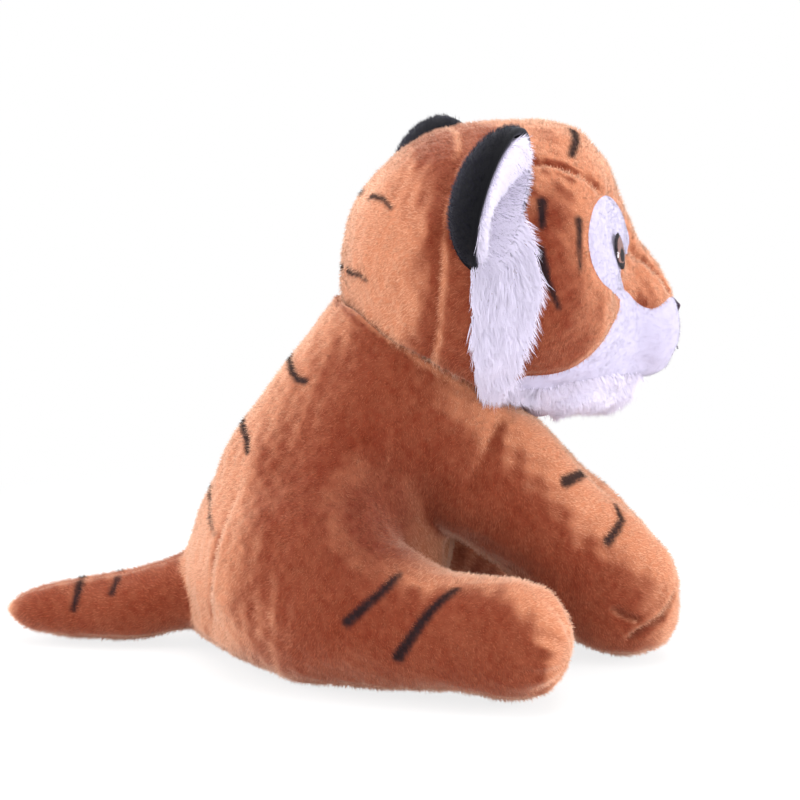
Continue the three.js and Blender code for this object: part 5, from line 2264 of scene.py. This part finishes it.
@dataclass(frozen=True)
class Lamp:
    """A soft square lamp: where it hangs, how wide it is, and its watts."""

    name: str
    at: Triple
    size: float
    power: float


@dataclass
class Studio:
    """A camera at the photograph's angle, a pale floor and soft lamps."""

    camera_at: Triple = (-650 * MM, -36 * MM, 217 * MM)
    camera_dip: float = 10.9
    lens: float = 81.0
    sky: float = 0.85
    floor_half: float = 3.0
    aim: Triple = (0, -30 * MM, 90 * MM)
    lamps: tuple[Lamp, ...] = (
        Lamp("top_lamp", (0.0, -0.1, 1.1), 0.9, 12.0),
        Lamp("front_lamp", (-0.25, -1.1, 0.35), 0.7, 9.0),
        Lamp("rear_lamp", (-0.1, 1.1, 0.5), 0.7, 9.0),
        Lamp("side_lamp", (-1.1, -0.1, 0.3), 1.0, 4.5),
        Lamp("far_lamp", (0.9, -0.1, 0.7), 0.8, 5.0),
    )

    def build_camera(self) -> None:
        """Sets the camera level with the toy's flank, looking along +X and a little down."""
        data = bpy.data.cameras.new("camera")
        data.lens, data.sensor_width, data.clip_start = self.lens, 36.0, 0.01
        camera = bpy.data.objects.new("camera", data)
        camera.location = self.camera_at
        camera.rotation_euler = (math.radians(90 - self.camera_dip), 0, math.radians(-90))
        bpy.context.scene.collection.objects.link(camera)
        bpy.context.scene.camera = camera

    def hang(self, lamp: Lamp) -> None:
        """Adds a lamp that faces the toy."""
        data = bpy.data.lights.new(lamp.name, "AREA")
        data.size, data.energy = lamp.size, lamp.power
        made = bpy.data.objects.new(lamp.name, data)
        away = np.array(self.aim) - np.array(lamp.at)
        yaw, dip = math.atan2(away[1], away[0]), math.atan2(math.hypot(away[0], away[1]), -away[2])
        made.location, made.rotation_euler = lamp.at, (dip, 0, yaw - math.pi / 2)
        bpy.context.scene.collection.objects.link(made)

    def build_floor(self) -> None:
        """Lays a pale floor that keeps a faint shadow, and hangs a white sky for the camera."""
        bench = Bench("pale_floor")
        path = bench.node("ShaderNodeLightPath", {}, {})
        seen = Wire(bench, path.outputs["Is Camera Ray"]) + Wire(bench, path.outputs["Is Glossy Ray"])
        matt = bench.node("ShaderNodeBsdfDiffuse", {}, {"Color": (0.9, 0.9, 0.9, 1)})
        white = bench.node("ShaderNodeEmission", {}, {"Color": (1, 1, 1, 1), "Strength": 1.0})
        away = bench.node("ShaderNodeVectorMath", {"operation": "LENGTH"}, {0: bench.place()})
        fade = bench.node(
            "ShaderNodeMapRange", {"interpolation_type": "SMOOTHSTEP"},
            {0: Wire(bench, away.outputs["Value"]), 1: 0.08, 2: 0.3, 3: 0.8, 4: 1.0},
        )
        pale = Wire(bench, fade.outputs[0])
        mix = bench.node("ShaderNodeMixShader", {}, {0: seen * pale, 1: matt.outputs[0], 2: white.outputs[0]})
        bench.tree.links.new(mix.outputs[0], bench.output.inputs[0])
        corners = np.array([[-1, -1, 0], [1, -1, 0], [1, 1, 0], [-1, 1, 0]])
        points = corners * self.floor_half - [0, 0, 0.2 * MM]
        floor = make_piece("floor", Surface(points, np.array([[0, 1, 2, 3]])), bench.material)
        world = bpy.data.worlds.new("white_sky")
        bpy.context.scene.world = world
        world.use_nodes = True
        tree = world.node_tree
        ray = tree.nodes.new("ShaderNodeLightPath")
        pick = tree.nodes.new("ShaderNodeMix")
        pick.inputs[2].default_value, pick.inputs[3].default_value = self.sky, 1.0
        tree.links.new(ray.outputs["Is Camera Ray"], pick.inputs[0])
        tree.links.new(pick.outputs[0], tree.nodes["Background"].inputs["Strength"])
        tree.nodes["Background"].inputs["Color"].default_value = (1, 1, 1, 1)

    def build(self) -> None:
        """Sets up the camera, the floor and the lamps."""
        self.build_camera()
        self.build_floor()
        for lamp in self.lamps:
            self.hang(lamp)
        bpy.context.scene.view_settings.view_transform = "Standard"


def main() -> None:
    """Builds the studio, the body, the head, the ears and the stitched face."""
    logging.basicConfig(level=logging.INFO, format="%(message)s")
    Studio().build()
    body = Body()
    body.build()
    head = Head(body)
    head.build()
    for side in Side:
        Ear(head, side).build()
    Embroidery(head).build()


if __name__ == "__main__":
    main()
